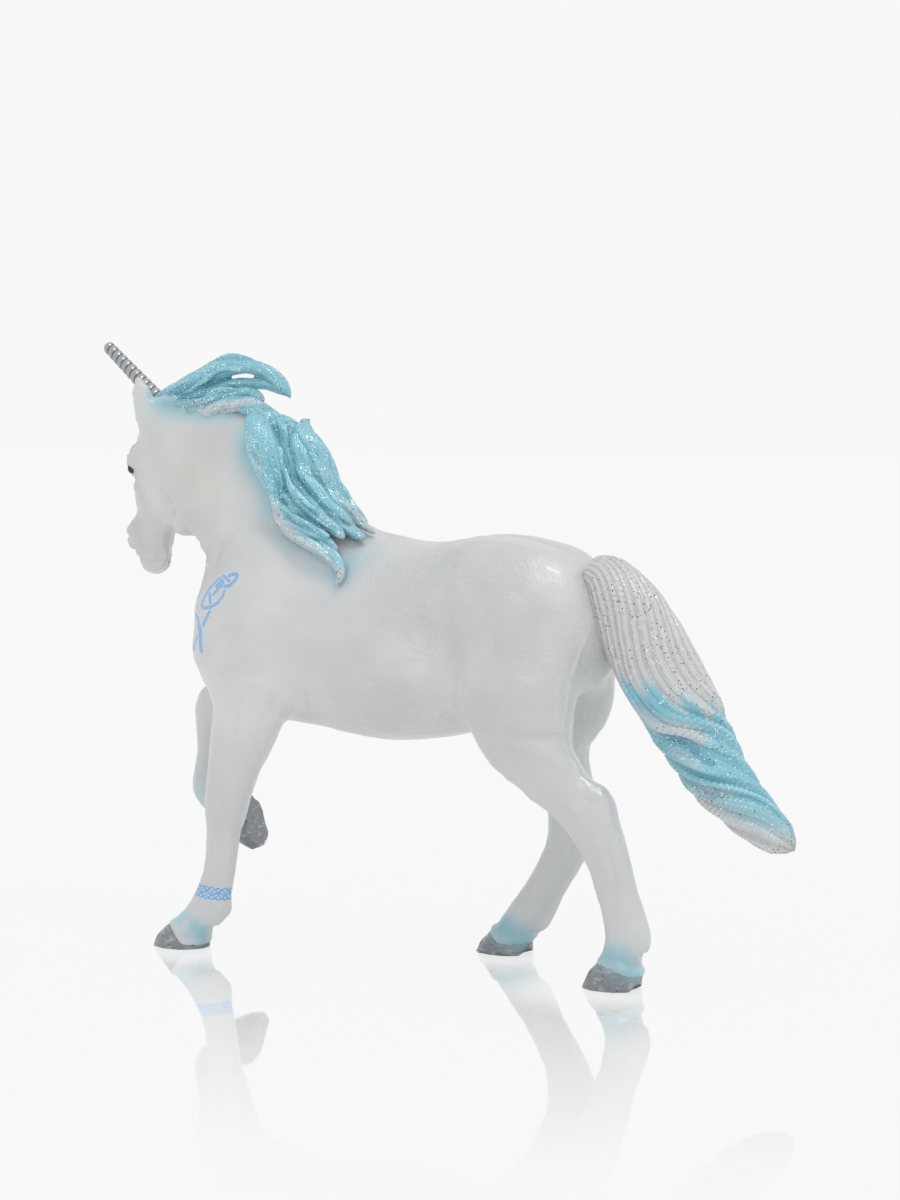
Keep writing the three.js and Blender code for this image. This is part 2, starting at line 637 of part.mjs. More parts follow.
const rightManeForm = lock([
  [
    [0.537, 4, 1, 1.8], [0.556, 6.6, -2.6, 2.4], [0.604, 8.2, -7, 2.5], [0.656, 8.4, -11, 2.2],
    [0.728, 8.4, -15, 1.8], [0.809, 8.6, -18.4, 1.2], [0.857, 9, -21, 0.5],
  ],
  [
    [0.632, 3.6, -0.6, 1.8], [0.671, 5.8, -4.4, 2.4], [0.728, 6.6, -8.6, 2.3], [0.8, 6.8, -12.4, 2],
    [0.866, 7, -15.8, 1.5], [0.924, 7.4, -18.6, 0.6],
  ],
], 0.8);
const forelockForm = lock([
  [
    [-0.074, 3.8, 3.4, 1.5], [-0.007, 2.8, 4.6, 2], [0.122, 2.2, 7, 2.1], [0.255, 2.1, 9.6, 2.1],
    [0.375, 2, 10.9, 1.8], [0.48, 1.8, 9.9, 1.6], [0.568, 1.8, 8, 1.4], [0.628, 1.9, 5.9, 0.6],
  ],
  [
    [0.041, 2.4, 3.3, 2], [0.2, 2, 4.9, 2.1], [0.334, 1.8, 6.3, 1.9], [0.442, 1.8, 6.7, 1.4],
    [0.53, 1.8, 6.8, 1.3], [0.594, 1.9, 6, 0.7],
  ],
  [[0.057, 2.2, 2.9, 1.8], [0.284, 1.8, 3.6, 2.1], [0.422, 1.6, 4.2, 1.9], [0.542, 1.4, 3.2, 1.4]],
], 0.8);

// Tail: strands round a line, on a core that fills between them. They hang straight from the dock and
// wind round each other past the middle. A station is [reach, drop, y, half depth, half width].
const dockReach = rumpReach - 1.5;
const dockHeight = croupHeight - 7.2;
const hang = (reach, drop) => [dockReach + tailReach * reach, dockHeight - tailDrop * drop];
const tailProfile = [
  [0, 0, -0.4, 3.8, 3.6],
  [0.102, 0.027, -1.4, 4.8, 4.4],
  [0.202, 0.107, -2, 6.2, 5.2],
  [0.291, 0.228, -2, 7.2, 5.4],
  [0.381, 0.362, -2, 7.6, 5.2],
  [0.475, 0.5, -2, 7.4, 5],
  [0.564, 0.621, -2, 6.8, 4.8],
  [0.643, 0.746, -2, 6.4, 4.4],
  [0.738, 0.853, -2, 5.8, 4],
  [0.853, 0.938, -2, 4.4, 3],
  [1, 1, -2, 2, 1.5],
];
const tailStations = tailProfile.map(([reach, drop, y, a, b]) => {
  const [x, z] = hang(reach, drop);
  return [x, y, z, a, b];
});
const tailStrandCount = 8;
const tailTwist = -190;
const tailCore = limb(tailStations.map(([x, y, z, a, b]) => [x, y, z, a * 0.78, b * 0.78]), v3(0, 1, 0), 2);
const tailStrands = Array.from({ length: tailStrandCount }, (unused, i) => {
  const last = tailStations.length - 1;
  return limb(
    tailStations.map(([x, y, z, a, b], j) => {
      const before = tailStations[Math.max(j - 1, 0)];
      const after = tailStations[Math.min(j + 1, last)];
      const along = v3(after[0] - before[0], 0, after[2] - before[2]).normalize();
      const wound = THREE.MathUtils.smoothstep(j / last, 0.3, 0.85);
      const angle = radians((360 * i) / tailStrandCount + tailTwist * wound);
      const deep = a * 0.69 * Math.cos(angle);
      const wide = b * 0.66 * Math.sin(angle);
      const r = (a + b) * 0.19;
      return [x + along.z * deep, y + wide, z - along.x * deep, r, r];
    }),
    v3(0, 1, 0),
    2,
  );
});
const tailForm = (x, y, z) => tailStrands.reduce((d, form) => join(d, form(x, y, z), 1), tailCore(x, y, z));

// Horn: turned from a profile, with one ridge winding up it.
const hornPitch = 1.2;
const hornRidge = 0.13;
const hornPitchUp = 33;
const hornRoot = 3;
const hornSides = 8;
const hornRings = 44;
const hornFrame = headFrame
  .clone()
  .multiply(new THREE.Matrix4().makeTranslation(2.8, 0, 3.1))
  .multiply(new THREE.Matrix4().makeRotationY(radians(90 - hornPitchUp + headPitch)));
const tipRounding = 22;
function hornBody() {
  const profile = [new THREE.Vector2(0, 0)];
  for (let i = 0; i <= hornRings; i++) {
    const share = i / hornRings;
    const rounded = Math.sqrt(Math.min(1, (1 - share) * tipRounding + 0.15));
    const radius = hornBaseRadius + (hornTipRadius - hornBaseRadius) * share;
    profile.push(new THREE.Vector2(radius * rounded, share * hornLength));
  }
  profile.push(new THREE.Vector2(0, hornLength + 0.3));
  const turned = new THREE.LatheGeometry(profile, hornSides);
  const at = turned.attributes.position;
  for (let i = 0; i < at.count; i++) {
    const angle = Math.atan2(at.getZ(i), at.getX(i));
    const swell = Math.cos(angle - (2 * Math.PI * at.getY(i)) / hornPitch) * hornRidge;
    const scale = 1 + swell / hornBaseRadius;
    at.setX(i, at.getX(i) * scale);
    at.setZ(i, at.getZ(i) * scale);
  }
  return solid(turned, hornFrame.clone().multiply(new THREE.Matrix4().makeRotationX(radians(90))));
}
const hornSeatRadius = hornBaseRadius + hornRidge + seamGap;
const hornAxisAt = (distance) => v3(0, 0, distance).applyMatrix4(hornFrame).toArray();
const hornRoom = limb([
  [...hornAxisAt(-1), hornSeatRadius, hornSeatRadius],
  [...hornAxisAt(hornLength), hornSeatRadius, hornSeatRadius],
]);

// Parting the forms into their mouldings
const leftManeClear = clearOf(leftManeForm, body);
const rightManeClear = clearOf(rightManeForm, body);
const crestManeClear = clearOf(crestManeForm, body, leftManeForm, rightManeForm);
const forelockClear = clearOf(forelockForm, body, crestManeForm, leftManeForm, rightManeForm, hornRoom);

const leftManePeg = peg(onNeck(0.606, -5.4, -7.5), [0.15, 1, 0], 1.5, 4, 1.5);
const rightManePeg = peg(onNeck(0.642, 7, -7.5), [0, -1, 0], 1.3, 3.6, 1.5);
const crestManePeg = peg(onNeck(0.78, 0.8, -7.2), [-0.75, 0, -0.66], 1.4, 4.4, 1.5);
const forelockPeg = peg(onNeck(0.2, 2.2, 3.6), [0.1, 0, -1], 1.3, 4.2, 1.5);
const tailPeg = peg([dockReach + 5.1, -1.2, dockHeight - 1.8], [-1, 0.1, -0.08], 2, 9, 2);
const hornPeg = peg(hornAxisAt(0), hornAxisAt(-1).map((v, k) => v - hornAxisAt(0)[k]), 0.85, hornRoot, 1);

const torsoLow = [-chestReach - 3.5, -17.5, bellyHeight - 3.6];
const torsoHigh = [rumpReach + 6, 17.5, withersHeight + 11];
const torso = skin(body, torsoLow, torsoHigh, () => torsoStep)
  .subtract(room(neckPlanes, seamGap))
  .subtract(room(leftForePlanes, seamGap))
  .subtract(room(rightForePlanes, seamGap))
  .subtract(room(leftHindPlanes, seamGap))
  .subtract(room(rightHindPlanes, seamGap))
  .subtract(neckPeg.female)
  .subtract(leftForePeg.female)
  .subtract(rightForePeg.female)
  .subtract(leftHindPeg.female)
  .subtract(rightHindPeg.female)
  .subtract(tailPeg.female);
add("torso", torso, white);

const headStep = (at, k) => {
  const coarse = k === 0 ? at > pollAt.x + 8.9 : k === 2 && at < pollAt.z - 22;
  return coarse ? 1.7 * fineStep : fineStep;
};
const headAndNeck = skin(body, nearPoll(-12.1, -12, -40), nearPoll(49.9, 14, 11), headStep)
  .intersect(room(neckPlanes, 0))
  .add(neckPeg.male)
  .subtract(leftManePeg.female)
  .subtract(rightManePeg.female)
  .subtract(crestManePeg.female)
  .subtract(forelockPeg.female)
  .subtract(hornPeg.female)
  .subtract(bar(hornAxisAt(-seamGap), hornAxisAt(hornLength), hornSeatRadius, 12));
add("head_and_neck", headAndNeck, white);

const limbPiece = (low, high, step, planes, joint) =>
  skin(body, low, high, step).intersect(room(planes, 0)).intersect(ground).add(joint.male);
const legStep = (at, k) => {
  if (k === 2) return at > 12 ? 1.8 * fineStep : 1.1 * fineStep;
  return 1.25 * fineStep;
};
add("left_foreleg", limbPiece([-55, -18, -1.5], [-19, 1, 58], legStep, leftForePlanes, leftForePeg), white);
const raisedStep = () => 1.2 * fineStep;
const raisedLeg = limbPiece([-60, 1, 12], [-34, 19, 56], raisedStep, rightForePlanes, rightForePeg);
add("right_foreleg", raisedLeg, white);
add("left_hindleg", limbPiece([8, -20, -1.5], [53, 1, 66], legStep, leftHindPlanes, leftHindPeg), white);
add("right_hindleg", limbPiece([3, -1, -1.5], [44, 20, 66], legStep, rightHindPlanes, rightHindPeg), white);

const hair = (name, form, low, high, joint) =>
  add(name, skin(form, low, high, () => hairStep).add(joint.male), turquoise);
hair("left_mane", leftManeClear, nearPoll(15.9, -16, -34), nearPoll(49.9, 3, 5), leftManePeg);
hair("crest_mane", crestManeClear, nearPoll(19.9, -8, -24), nearPoll(51.9, 6, 5), crestManePeg);
hair("right_mane", rightManeClear, nearPoll(17.9, 0, -24), nearPoll(45.9, 14, 6), rightManePeg);
hair("forelock", forelockClear, nearPoll(-8.1, -3, -1), nearPoll(29.9, 8, 15), forelockPeg);

const tailLow = [dockReach - 5.5, -10, dockHeight - tailDrop - 5.6];
const tailHigh = [dockReach + tailReach + 6.4, 7, dockHeight + 7.6];
const tail = skin(clearOf(tailForm, body), tailLow, tailHigh, () => tailStep);
add("tail", tail.add(tailPeg.male), white);
add("horn", hornBody().add(hornPeg.male), silver, 0.3, 0.8);

// The figure is moved so that the middle of its footprint box is the origin.
const extent = new THREE.Box3().setFromObject(figure);
figure.position.set(-(extent.min.x + extent.max.x) / 2, -(extent.min.y + extent.max.y) / 2, 0);
const object = new THREE.Group();
object.add(figure);

export default object;
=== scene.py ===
# A prancing unicorn figurine in painted PVC: the finished look of each moulding, over the CAD frame.
import math

import bmesh
import bpy
import numpy as np
from mathutils import Matrix, Vector


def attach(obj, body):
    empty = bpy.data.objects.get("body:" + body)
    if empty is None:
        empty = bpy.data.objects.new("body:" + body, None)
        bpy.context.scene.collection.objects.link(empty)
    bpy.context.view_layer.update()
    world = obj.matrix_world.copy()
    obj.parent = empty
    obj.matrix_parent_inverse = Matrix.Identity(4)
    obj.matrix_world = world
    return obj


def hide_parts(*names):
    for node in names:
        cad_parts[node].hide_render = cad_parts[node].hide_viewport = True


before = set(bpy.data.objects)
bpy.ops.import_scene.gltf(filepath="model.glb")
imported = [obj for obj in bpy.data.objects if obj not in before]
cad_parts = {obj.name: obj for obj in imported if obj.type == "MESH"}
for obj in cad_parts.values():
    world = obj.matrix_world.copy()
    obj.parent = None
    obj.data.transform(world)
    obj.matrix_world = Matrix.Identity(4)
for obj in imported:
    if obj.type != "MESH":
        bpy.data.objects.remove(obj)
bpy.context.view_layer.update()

# Places are in the figure's own millimetres. It faces -X, its left side is towards -Y, it stands on Z = 0.
MM = 0.001
frame_shift = (1.398, 0.017, 0)
to_frame = Matrix.Scale(MM, 4) @ Matrix.Translation(frame_shift)
from_frame = to_frame.inverted()

# The skins
body_voxel = 0.36
hair_voxel = 0.22
skin_growth = 0.2
smoothing_rounds = 45

# The head's own frame: x forward out of the face, y to the animal's left, z up its length to the poll.
poll = Vector((-55.9, 3.2, 98))
head_yaw = math.radians(20)
head_pitch = math.radians(5)
head_frame = (
    Matrix.Translation(poll)
    @ Matrix.Rotation(math.pi - head_yaw, 4, "Z")
    @ Matrix.Rotation(-head_pitch, 4, "Y")
)
eye_at = Vector((5.7, 4.9, -9.9))
eye_size = (1.2, 2.2, 0.95)

# The horn
horn_length = 22.6
horn_base_radius = 1.62
horn_tip_radius = 1.2
horn_ridge_pitch = 1.74
horn_ridge_depth = 0.28
horn_sunk = 1.4
horn_sides = 36
horn_rings = 340
horn_rise = math.radians(33)
horn_frame = (
    head_frame
    @ Matrix.Translation((2.8, 0, 3.1))
    @ Matrix.Rotation(math.pi / 2 - horn_rise + head_pitch, 4, "Y")
)

# Hooves: the middle of each sole, the height of its dark wall at the heel, and where the top of that wall
# begins and ends its fall from the toe
hooves = [
    ((-45.4, -10.75, 0), 0.9, -1.2, 3.4),
    ((42.4, -10.75, 0), 2.3, -1.2, 7.6),
    ((11.4, 10.75, 0), 2.3, -2.8, 1.2),
]
raised_hoof = Matrix.Translation((-41.7, 8.8, 20.9)) @ Matrix.Rotation(math.radians(-104), 4, "Y")
raised_fall = (1.5, -2.6, 3)
wall_height = 4.4

# Paint
pearl_white = (0.66, 0.665, 0.66, 1)
pearl_shade = (0.575, 0.585, 0.587, 1)
pearl_warm = (0.67, 0.655, 0.61, 1)
airbrush_blue = (0.31, 0.59, 0.68, 1)
# Grey for the airbrush on the heels and for painted shade under the forelock
airbrush_and_shade_grey = (0.25, 0.40, 0.44, 1)
knot_blue = (0.29, 0.46, 0.67, 1)
knot_pale = (0.62, 0.74, 0.84, 1)
band_fill = (0.42, 0.60, 0.76, 1)
band_line = (0.19, 0.37, 0.63, 1)
eye_black = (0.012, 0.012, 0.014, 1)
eye_rim = (0.45, 0.46, 0.48, 1)
hoof_grey = (0.22, 0.235, 0.25, 1)
hoof_dark = (0.10, 0.105, 0.115, 1)
hoof_worn = (0.38, 0.395, 0.41, 1)
# Darkest turquoise: painted shade in grooves and hollows. Palest: painted highlight on ridges
hair_dark_tone_and_shade = (0.13, 0.38, 0.48, 1)
hair_turquoise = (0.235, 0.545, 0.64, 1)
hair_pale_tone_and_highlight = (0.44, 0.70, 0.76, 1)
hair_white = (0.63, 0.635, 0.64, 1)
# White hair in painted shade, for its grooves
hair_shade = (0.44, 0.445, 0.45, 1)
flake_bright = (0.95, 0.96, 0.97, 1)
flake_dark = (0.09, 0.11, 0.13, 1)
horn_silver = (0.40, 0.415, 0.425, 1)
horn_groove_shade = (0.15, 0.155, 0.165, 1)
flake_spacing = 0.36
flake_radius = 0.15
relief_step = 0.13
flank_hollow = (5.6, 60.2)
fur_slope = math.radians(42)
fur_sway = 8
fine_strokes = (1.1, 0.27, 0.27)
coarse_strokes = (2.4, 0.9, 0.6)
hoof_streaks = (2, 2, 0.6)

# The knot on each breast is charted in millimetres round the chest and up, each strand over those before it
chest_axis_x = -25
chest_radius = 15
knot_half_width = 0.39
knot_edge_half_width = 0.53
knot_blur = 0.05
knot_strands = [
    [(9.7, 62.9), (9.4, 60.6), (9.1, 58.6), (8, 56), (5, 53.8), (0, 52.8)],
    [(0, 63.2), (5, 62.4), (7.8, 61.1), (9.2, 59.4), (9.9, 57.6), (10.5, 55.6)],
    [(7.9, 66.8), (8.8, 65.8), (9.3, 64.5)],
    [(12.7, 67), (12.5, 66), (11.3, 64.6), (9.6, 63.7), (8, 63.4), (7.1, 64), (7.4, 65.4), (8.1, 67),
     (9.4, 68.2), (11.1, 69.1), (12.1, 69.6)],
    [(9.7, 66.1), (10.8, 67.2), (12.3, 68.2), (11.6, 68.8), (10.2, 67.6)],
    [(12, 69.6), (13, 69.2), (13.9, 68.7)],
    [(13.6, 69.7), (14.8, 70.1), (15.7, 69.9), (15.4, 69.1), (14.1, 67.9), (12.6, 67.7)],
]

# The braided band round the left fore cannon
cannon_axis = (-38.2, -10.75)
band_middle = 11.0
band_half_height = 1.1
band_loops = 8

# Camera, light and floor
camera_at = Vector((235.66, -457.70, 99.3))
camera_turn = math.radians(26.7)
camera_tip = math.radians(3.75)
camera_lens = 85
camera_film = 36
world_level = 0.84
world_tint = (0.98, 0.99, 1, 1)
backdrop_level = 0.939
key_strength = 0.72
key_spread = math.radians(18)
key_direction = Vector((-0.36, 0.14, -1))
plain_white = (1, 1, 1, 1)
floor_half_size = 6
floor_glow = 0.94
floor_matt = (0.95, 0.95, 0.95, 1)
floor_shade = 0.06
floor_mirror = 0.66
floor_roughness = 0.03

# The half size of the figure's footprint, how far past it the floor's mirror is gone and is full, how far
# from a sole it is least and is full, and what is left of it at the sole
footprint = (45, 11)
mirror_fade = (150, -20)
foot_fade = (8, 26)
foot_mirror = 0.25


# Meshes as arrays
def values_of(items, name, width, kind=float):
    values = np.empty(len(items) * width, kind)
    items.foreach_get(name, values)
    return values.reshape(-1, width)


def places_of(mesh):
    return values_of(mesh.vertices, "co", 3)


def normals_of(mesh):
    return values_of(mesh.vertex_normals, "vector", 3)


def edges_of(mesh):
    return values_of(mesh.edges, "vertices", 2, int)


def move_to(mesh, places):
    mesh.vertices.foreach_set("co", places.ravel())
    mesh.update()


def evaluated(piece):
    """The piece's mesh with its modifiers applied."""
    graph = bpy.context.evaluated_depsgraph_get()
    return bpy.data.meshes.new_from_object(piece.evaluated_get(graph))


def mesh_of(bm, name):
    """A mesh with what has been built."""
    mesh = bpy.data.meshes.new(name)
    bm.to_mesh(mesh)
    bm.free()
    return mesh


def link(name, data):
    """A new object in the scene."""
    made = bpy.data.objects.new(name, data)
    bpy.context.scene.collection.objects.link(made)
    return made


def smoothstep(values, low, high):
    t = np.clip((values - low) / (high - low), 0, 1)
    return t * t * (3 - 2 * t)


def along_path(places, path):
    """How far each place is from a path of straight stretches, and its share of the way along it."""
    path = np.array(path, float)
    lengths = np.linalg.norm(np.diff(path, axis=0), axis=1)
    starts = np.concatenate([[0], np.cumsum(lengths)])
    nearest = np.full(len(places), 1e9)
    share = np.zeros(len(places))
    for a, b, start, length in zip(path[:-1], path[1:], starts, lengths):
        t = np.clip((places - a) @ (b - a) / length**2, 0, 1)
        away = np.linalg.norm(places - a - t[:, None] * (b - a), axis=1)
        closer = away < nearest
        nearest = np.where(closer, away, nearest)
        share = np.where(closer, (start + t * length) / starts[-1], share)
    return nearest, share


def averaged(places, edges):
    """The middle of each place's neighbours."""
    total = np.zeros_like(places)
    for near, far in ((0, 1), (1, 0)):
        for k in range(3):
            total[:, k] += np.bincount(edges[:, near], places[edges[:, far], k], len(places))
    return total / np.bincount(edges.ravel(), minlength=len(places))[:, None]


def relaxed(places, edges, weight, rounds):
    """Evens out facets without letting the form shrink: each round pulls in, then pushes back."""
    for factor in (0.5, -0.52) * rounds:
        places = places + factor * weight[:, None] * (averaged(places, edges) - places)
    return places


def relief_of(mesh, rounds):
    """How far each place stands proud of the skin around it. Below zero, it lies in a groove."""
    places = places_of(mesh)
    edges = edges_of(mesh)
    evened = places
    for _ in range(rounds):
        evened = averaged(evened, edges)
    return ((places - evened) * normals_of(mesh)).sum(axis=1)


def outer_shell(mesh):
    """Leaves only the largest shell, which is the one on the outside."""
    edges = edges_of(mesh)
    label = np.arange(len(mesh.vertices))
    while True:
        low = np.minimum(label[edges[:, 0]], label[edges[:, 1]])
        before = label.copy()
        np.minimum.at(label, edges[:, 0], low)
        np.minimum.at(label, edges[:, 1], low)
        label = label[label]
        if (label == before).all():
            break
    outside = np.bincount(label).argmax()
    bm = bmesh.new()
    bm.from_mesh(mesh)
    inner = [vert for vert in bm.verts if label[vert.index] != outside]
    bmesh.ops.delete(bm, geom=inner, context="VERTS")
    bm.to_mesh(mesh)
    bm.free()
    return mesh


def moulded(mesh, voxel):
    """One skin round all that the mesh holds."""
    source = link("moulding", mesh)
    remesh = source.modifiers.new("remesh", "REMESH")
    remesh.mode = "VOXEL"
    remesh.voxel_size = voxel
    made = outer_shell(evaluated(source))
    bpy.data.objects.remove(source)
    return made


def sculpt(mesh, lines):
    """Presses modelling lines into a skin or raises them. A line is its path, its reach and its rise."""
    places = places_of(mesh)
    rise = np.zeros(len(places))
    for path, reach, height in lines:
        path = smooth_path(path, 4)
        near = ((places > path.min(0) - 3 * reach) & (places < path.max(0) + 3 * reach)).all(axis=1)
        away, share = along_path(places[near], path)
        rise[near] += height * (1 - np.abs(2 * share - 1) ** 4) * np.exp(-((away / reach) ** 2))
    move_to(mesh, places + normals_of(mesh) * rise[:, None])


def smooth_path(stations, steps=8):
    """A smooth curve through the stations. The sizes that follow a station's place go with it."""
    p = np.array(stations, float)
    p = np.vstack([2 * p[0] - p[1], p, 2 * p[-1] - p[-2]])
    t = np.linspace(0, 1, steps, endpoint=False)[:, None]
    stretches = [
        0.5 * (2 * b + (c - a) * t + (2 * a - 5 * b + 4 * c - d) * t**2 + (3 * b - a - 3 * c + d) * t**3)
        for a, b, c, d in zip(p[:-3], p[1:-2], p[2:-1], p[3:])
    ]
    return np.vstack([*stretches, p[-2][None]])


def unit(vectors):
    return vectors / np.linalg.norm(vectors, axis=-1, keepdims=True)


def seen_in(own_frame, places):
    """The places as they are in a frame of their own."""
    turn = np.array(own_frame.inverted())
    return places @ turn[:3, :3].T + turn[:3, 3]


def set_in_place(name, mesh, paint, node):
    """Puts a finished piece into the frame in place of its CAD node."""
    mesh.transform(to_frame)
    mesh.materials.clear()
    mesh.materials.append(paint)
    piece = link(name, mesh)
    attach(piece, "root")
    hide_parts(node)


# Node trees
class Wire:
    """An output of a node. A sum written on wires adds the Math nodes for it."""

    def __init__(self, nodes, socket):
        self.nodes = nodes
        self.socket = socket

    def math(self, operation, *others):
        return self.nodes.node("ShaderNodeMath", {"operation": operation}, dict(enumerate([self, *others])))

    def __add__(self, other):
        return self.math("ADD", other)

    def __sub__(self, other):
        return self.math("SUBTRACT", other)

    def __mul__(self, other):
        return self.math("MULTIPLY", other)

    def __truediv__(self, other):
        return self.math("DIVIDE", other)

    def __rsub__(self, other):
        return self.nodes.node("ShaderNodeMath", {"operation": "SUBTRACT"}, {0: other, 1: self})

    def __gt__(self, other):
        return self.math("GREATER_THAN", other)

    def __lt__(self, other):
        return self.math("LESS_THAN", other)

    __radd__ = __add__
    __rmul__ = __mul__

    def clamped(self):
        return self.nodes.node("ShaderNodeClamp", {}, {0: self})

    def step(self, low, high):
        """Runs smoothly from 0 at low to 1 at high."""
        settings = {"interpolation_type": "SMOOTHSTEP"}
        return self.nodes.node("ShaderNodeMapRange", settings, {0: self, 1: low, 2: high, 3: 0, 4: 1})

    def beside(self, output):
        """Another output of the same node."""
        return Wire(self.nodes, self.socket.node.outputs[output])


class Nodes:
    """The nodes of a material or of the world while they are put together."""

    def __init__(self, owner):
        owner.use_nodes = True
        self.tree = owner.node_tree

    def node(self, kind, settings, inputs, output=0):
        made = self.tree.nodes.new(kind)
        for name, value in settings.items():
            setattr(made, name, value)
        for name, value in inputs.items():
            self.feed(made.inputs[name], value)
        return Wire(self, made.outputs[output])

    def feed(self, socket, value):
        if isinstance(value, Wire):
            self.tree.links.new(value.socket, socket)
        else:
            socket.default_value = value

    def vector(self, operation, inputs, output="Vector"):
        return self.node("ShaderNodeVectorMath", {"operation": operation}, inputs, output)

    def shared(self, share, a, b):
        """Of two shaders, this much of the second."""
        return self.node("ShaderNodeMixShader", {}, {0: share, 1: a, 2: b})


class Paint(Nodes):
    """A material while its nodes are put together."""

    def __init__(self, name):
        self.material = bpy.data.materials.new(name)
        super().__init__(self.material)
        self.surface = self.tree.nodes["Principled BSDF"]
        self.place = self.node("ShaderNodeTexCoord", {}, {}, "Object")

    def set(self, **inputs):
        """Feeds the surface's sockets, named with underscores for spaces."""
        for name, value in inputs.items():
            self.feed(self.surface.inputs[name.replace("_", " ")], value)

    def attribute(self, name):
        return self.node("ShaderNodeAttribute", {"attribute_name": name}, {}, "Fac")

    def mix(self, share, a, b):
        return self.node("ShaderNodeMix", {"data_type": "RGBA"}, {0: share, 6: a, 7: b}, 2)

    def parts(self, vector):
        x = self.node("ShaderNodeSeparateXYZ", {}, {0: vector})
        return x, x.beside(1), x.beside(2)

    def figure_place(self):
        """The place in the figure's own millimetres."""
        x, y, z = self.parts(self.place)
        return x / MM - frame_shift[0], y / MM - frame_shift[1], z / MM

    def joined(self, x, y, z):
        return self.node("ShaderNodeCombineXYZ", {}, {0: x, 1: y, 2: z})

    def noise(self, vector, scale, detail, output="Fac"):
        inputs = {"Vector": vector, "Scale": scale, "Detail": detail}
        return self.node("ShaderNodeTexNoise", {}, inputs, output)

    def stretched(self, vector, size, turn=(0, 0, 0)):
        """The vector turned, then measured in the given millimetres along its axes."""
        inputs = {"Vector": vector, "Scale": [length * MM for length in size], "Rotation": turn}
        return self.node("ShaderNodeMapping", {"vector_type": "TEXTURE"}, inputs)

    def bump(self, height, distance, strength):
        inputs = {"Height": height, "Distance": distance * MM, "Strength": strength}
        return self.node("ShaderNodeBump", {}, inputs)


# Body
body_nodes = ["torso", "head_and_neck", "left_foreleg", "right_foreleg", "left_hindleg", "right_hindleg"]
socket_plugs = [
    (-30.5, -3.4, 90.5), (-29, 5.0, 90.5), (-25.4, 0.6, 88.0), (-47.4, 2.2, 99.0), (35.6, -1.0, 68.4)
]
plug_radius = 2.1
horn_collar = {"radius1": 2.5, "radius2": 1.55, "depth": 3.4}


def body_copies():
    """The CAD mouldings in one mesh, a little grown so that their seams close.

    The sockets are filled, and a collar stands round the root of the horn.
    """
    bm = bmesh.new()
    for node in body_nodes:
        bm.from_mesh(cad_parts[node].data)
    bm.transform(from_frame)
    bmesh.ops.remove_doubles(bm, verts=bm.verts, dist=0.001)
    bm.normal_update()
    for vert in bm.verts:
        vert.co += vert.normal * skin_growth
    for plug in socket_plugs:
        bmesh.ops.create_icosphere(bm, subdivisions=2, radius=plug_radius, matrix=Matrix.Translation(plug))
    collar = horn_frame @ Matrix.Translation((0, 0, -0.9))
    bmesh.ops.create_cone(bm, cap_ends=True, segments=24, matrix=collar, **horn_collar)
    return mesh_of(bm, "body_copies")


def smoothing_weight(places):
    """Full on the trunk, less on the head, the legs and least on the hooves."""
    face = smoothstep(seen_in(head_frame, places)[:, 0], -9, -4)
    head = face * smoothstep(places[:, 0], -40, -48) * smoothstep(places[:, 2], 62, 66)
    legs = smoothstep(places[:, 2], 40, 30)
    hooves = smoothstep(places[:, 2], 8, 5)
    return 1 - 0.6 * head - 0.3 * legs - 0.35 * hooves


def mirrored(lines, middle=0):
    """The lines and their likeness on the other side."""
    return lines + [
        ([(x, 2 * middle - y, z) for x, y, z in path], reach, rise) for path, reach, rise in lines
    ]


# Modelling lines: the places along a line, its reach to each side and its rise. Below zero, it is a groove.
flank_lines = [
    ([(-22.9, -10.5, 73.2), (-26.4, -12.9, 67.4), (-31.1, -12.9, 62.7), (-33.9, -13.2, 57.1),
      (-35.5, -13.5, 52.8)], 2.4, -0.45),
    ([(-23.1, -13.1, 65.3), (-28.3, -13.2, 60.9), (-31.4, -13.4, 55.3), (-32.5, -14.1, 50.7)], 2.4, 0.4),
    ([(-21.8, -13.3, 61.6), (-25.4, -13.2, 55.5), (-26.9, -13.5, 49.9)], 3.0, -0.45),
    ([(-23.9, -12.2, 48.8), (-25, -11.9, 45)], 0.9, -0.4),
    ([(-19.2, -11, 49.2), (-19.9, -8.2, 45.6)], 0.9, -0.4),
    ([(-21.3, -12.3, 52.5), (-21.9, -10.2, 47.2)], 1.2, 0.4),
    ([(6, -12.8, 64), (5.2, -13.2, 59.5), (6, -12.9, 54)], 3.2, -0.42),
    ([(12.5, -13, 69.4), (11.4, -12.9, 60.6), (10.6, -12.2, 50.7)], 3.0, -0.42),
    ([(25.6, -13.3, 68), (22, -14.8, 61.5), (17.7, -14.7, 55.5), (11.8, -11.4, 49.2)], 2.6, 0.65),
    ([(31.4, -12.3, 65.5), (29.8, -13.6, 59.4), (27.4, -14.8, 53)], 3.2, -0.6),
    ([(14.4, -12.6, 71), (20.5, -14.3, 65)], 2.6, -0.4),
    ([(12, -11, 47.6), (16.5, -14.1, 51.1)], 1.2, 0.4),
    ([(-5.7, -6, 41.5), (4.6, -8.4, 44.3), (11.3, -10.8, 47.7)], 0.9, 0.35),
    ([(-45, -5.2, 80), (-40, -6.5, 74.5), (-37, -8, 68)], 1.6, -0.3),
    ([(-13, -12.6, 62), (-12, -12.4, 50)], 1.4, -0.14),
    ([(-8, -13.2, 62), (-7, -13, 50)], 1.4, -0.14),
    ([(-3, -13.4, 62), (-2, -13.2, 51)], 1.4, -0.14),
]
middle_lines = [
    ([(-2, 0, 76.7), (10, 0, 77.4), (24, 0, 77), (32, 0, 73.5)], 1.1, -0.4),
    ([(-44.6, 0, 67), (-45.4, 0, 59), (-42, 0, 50)], 1.0, -0.6),
]
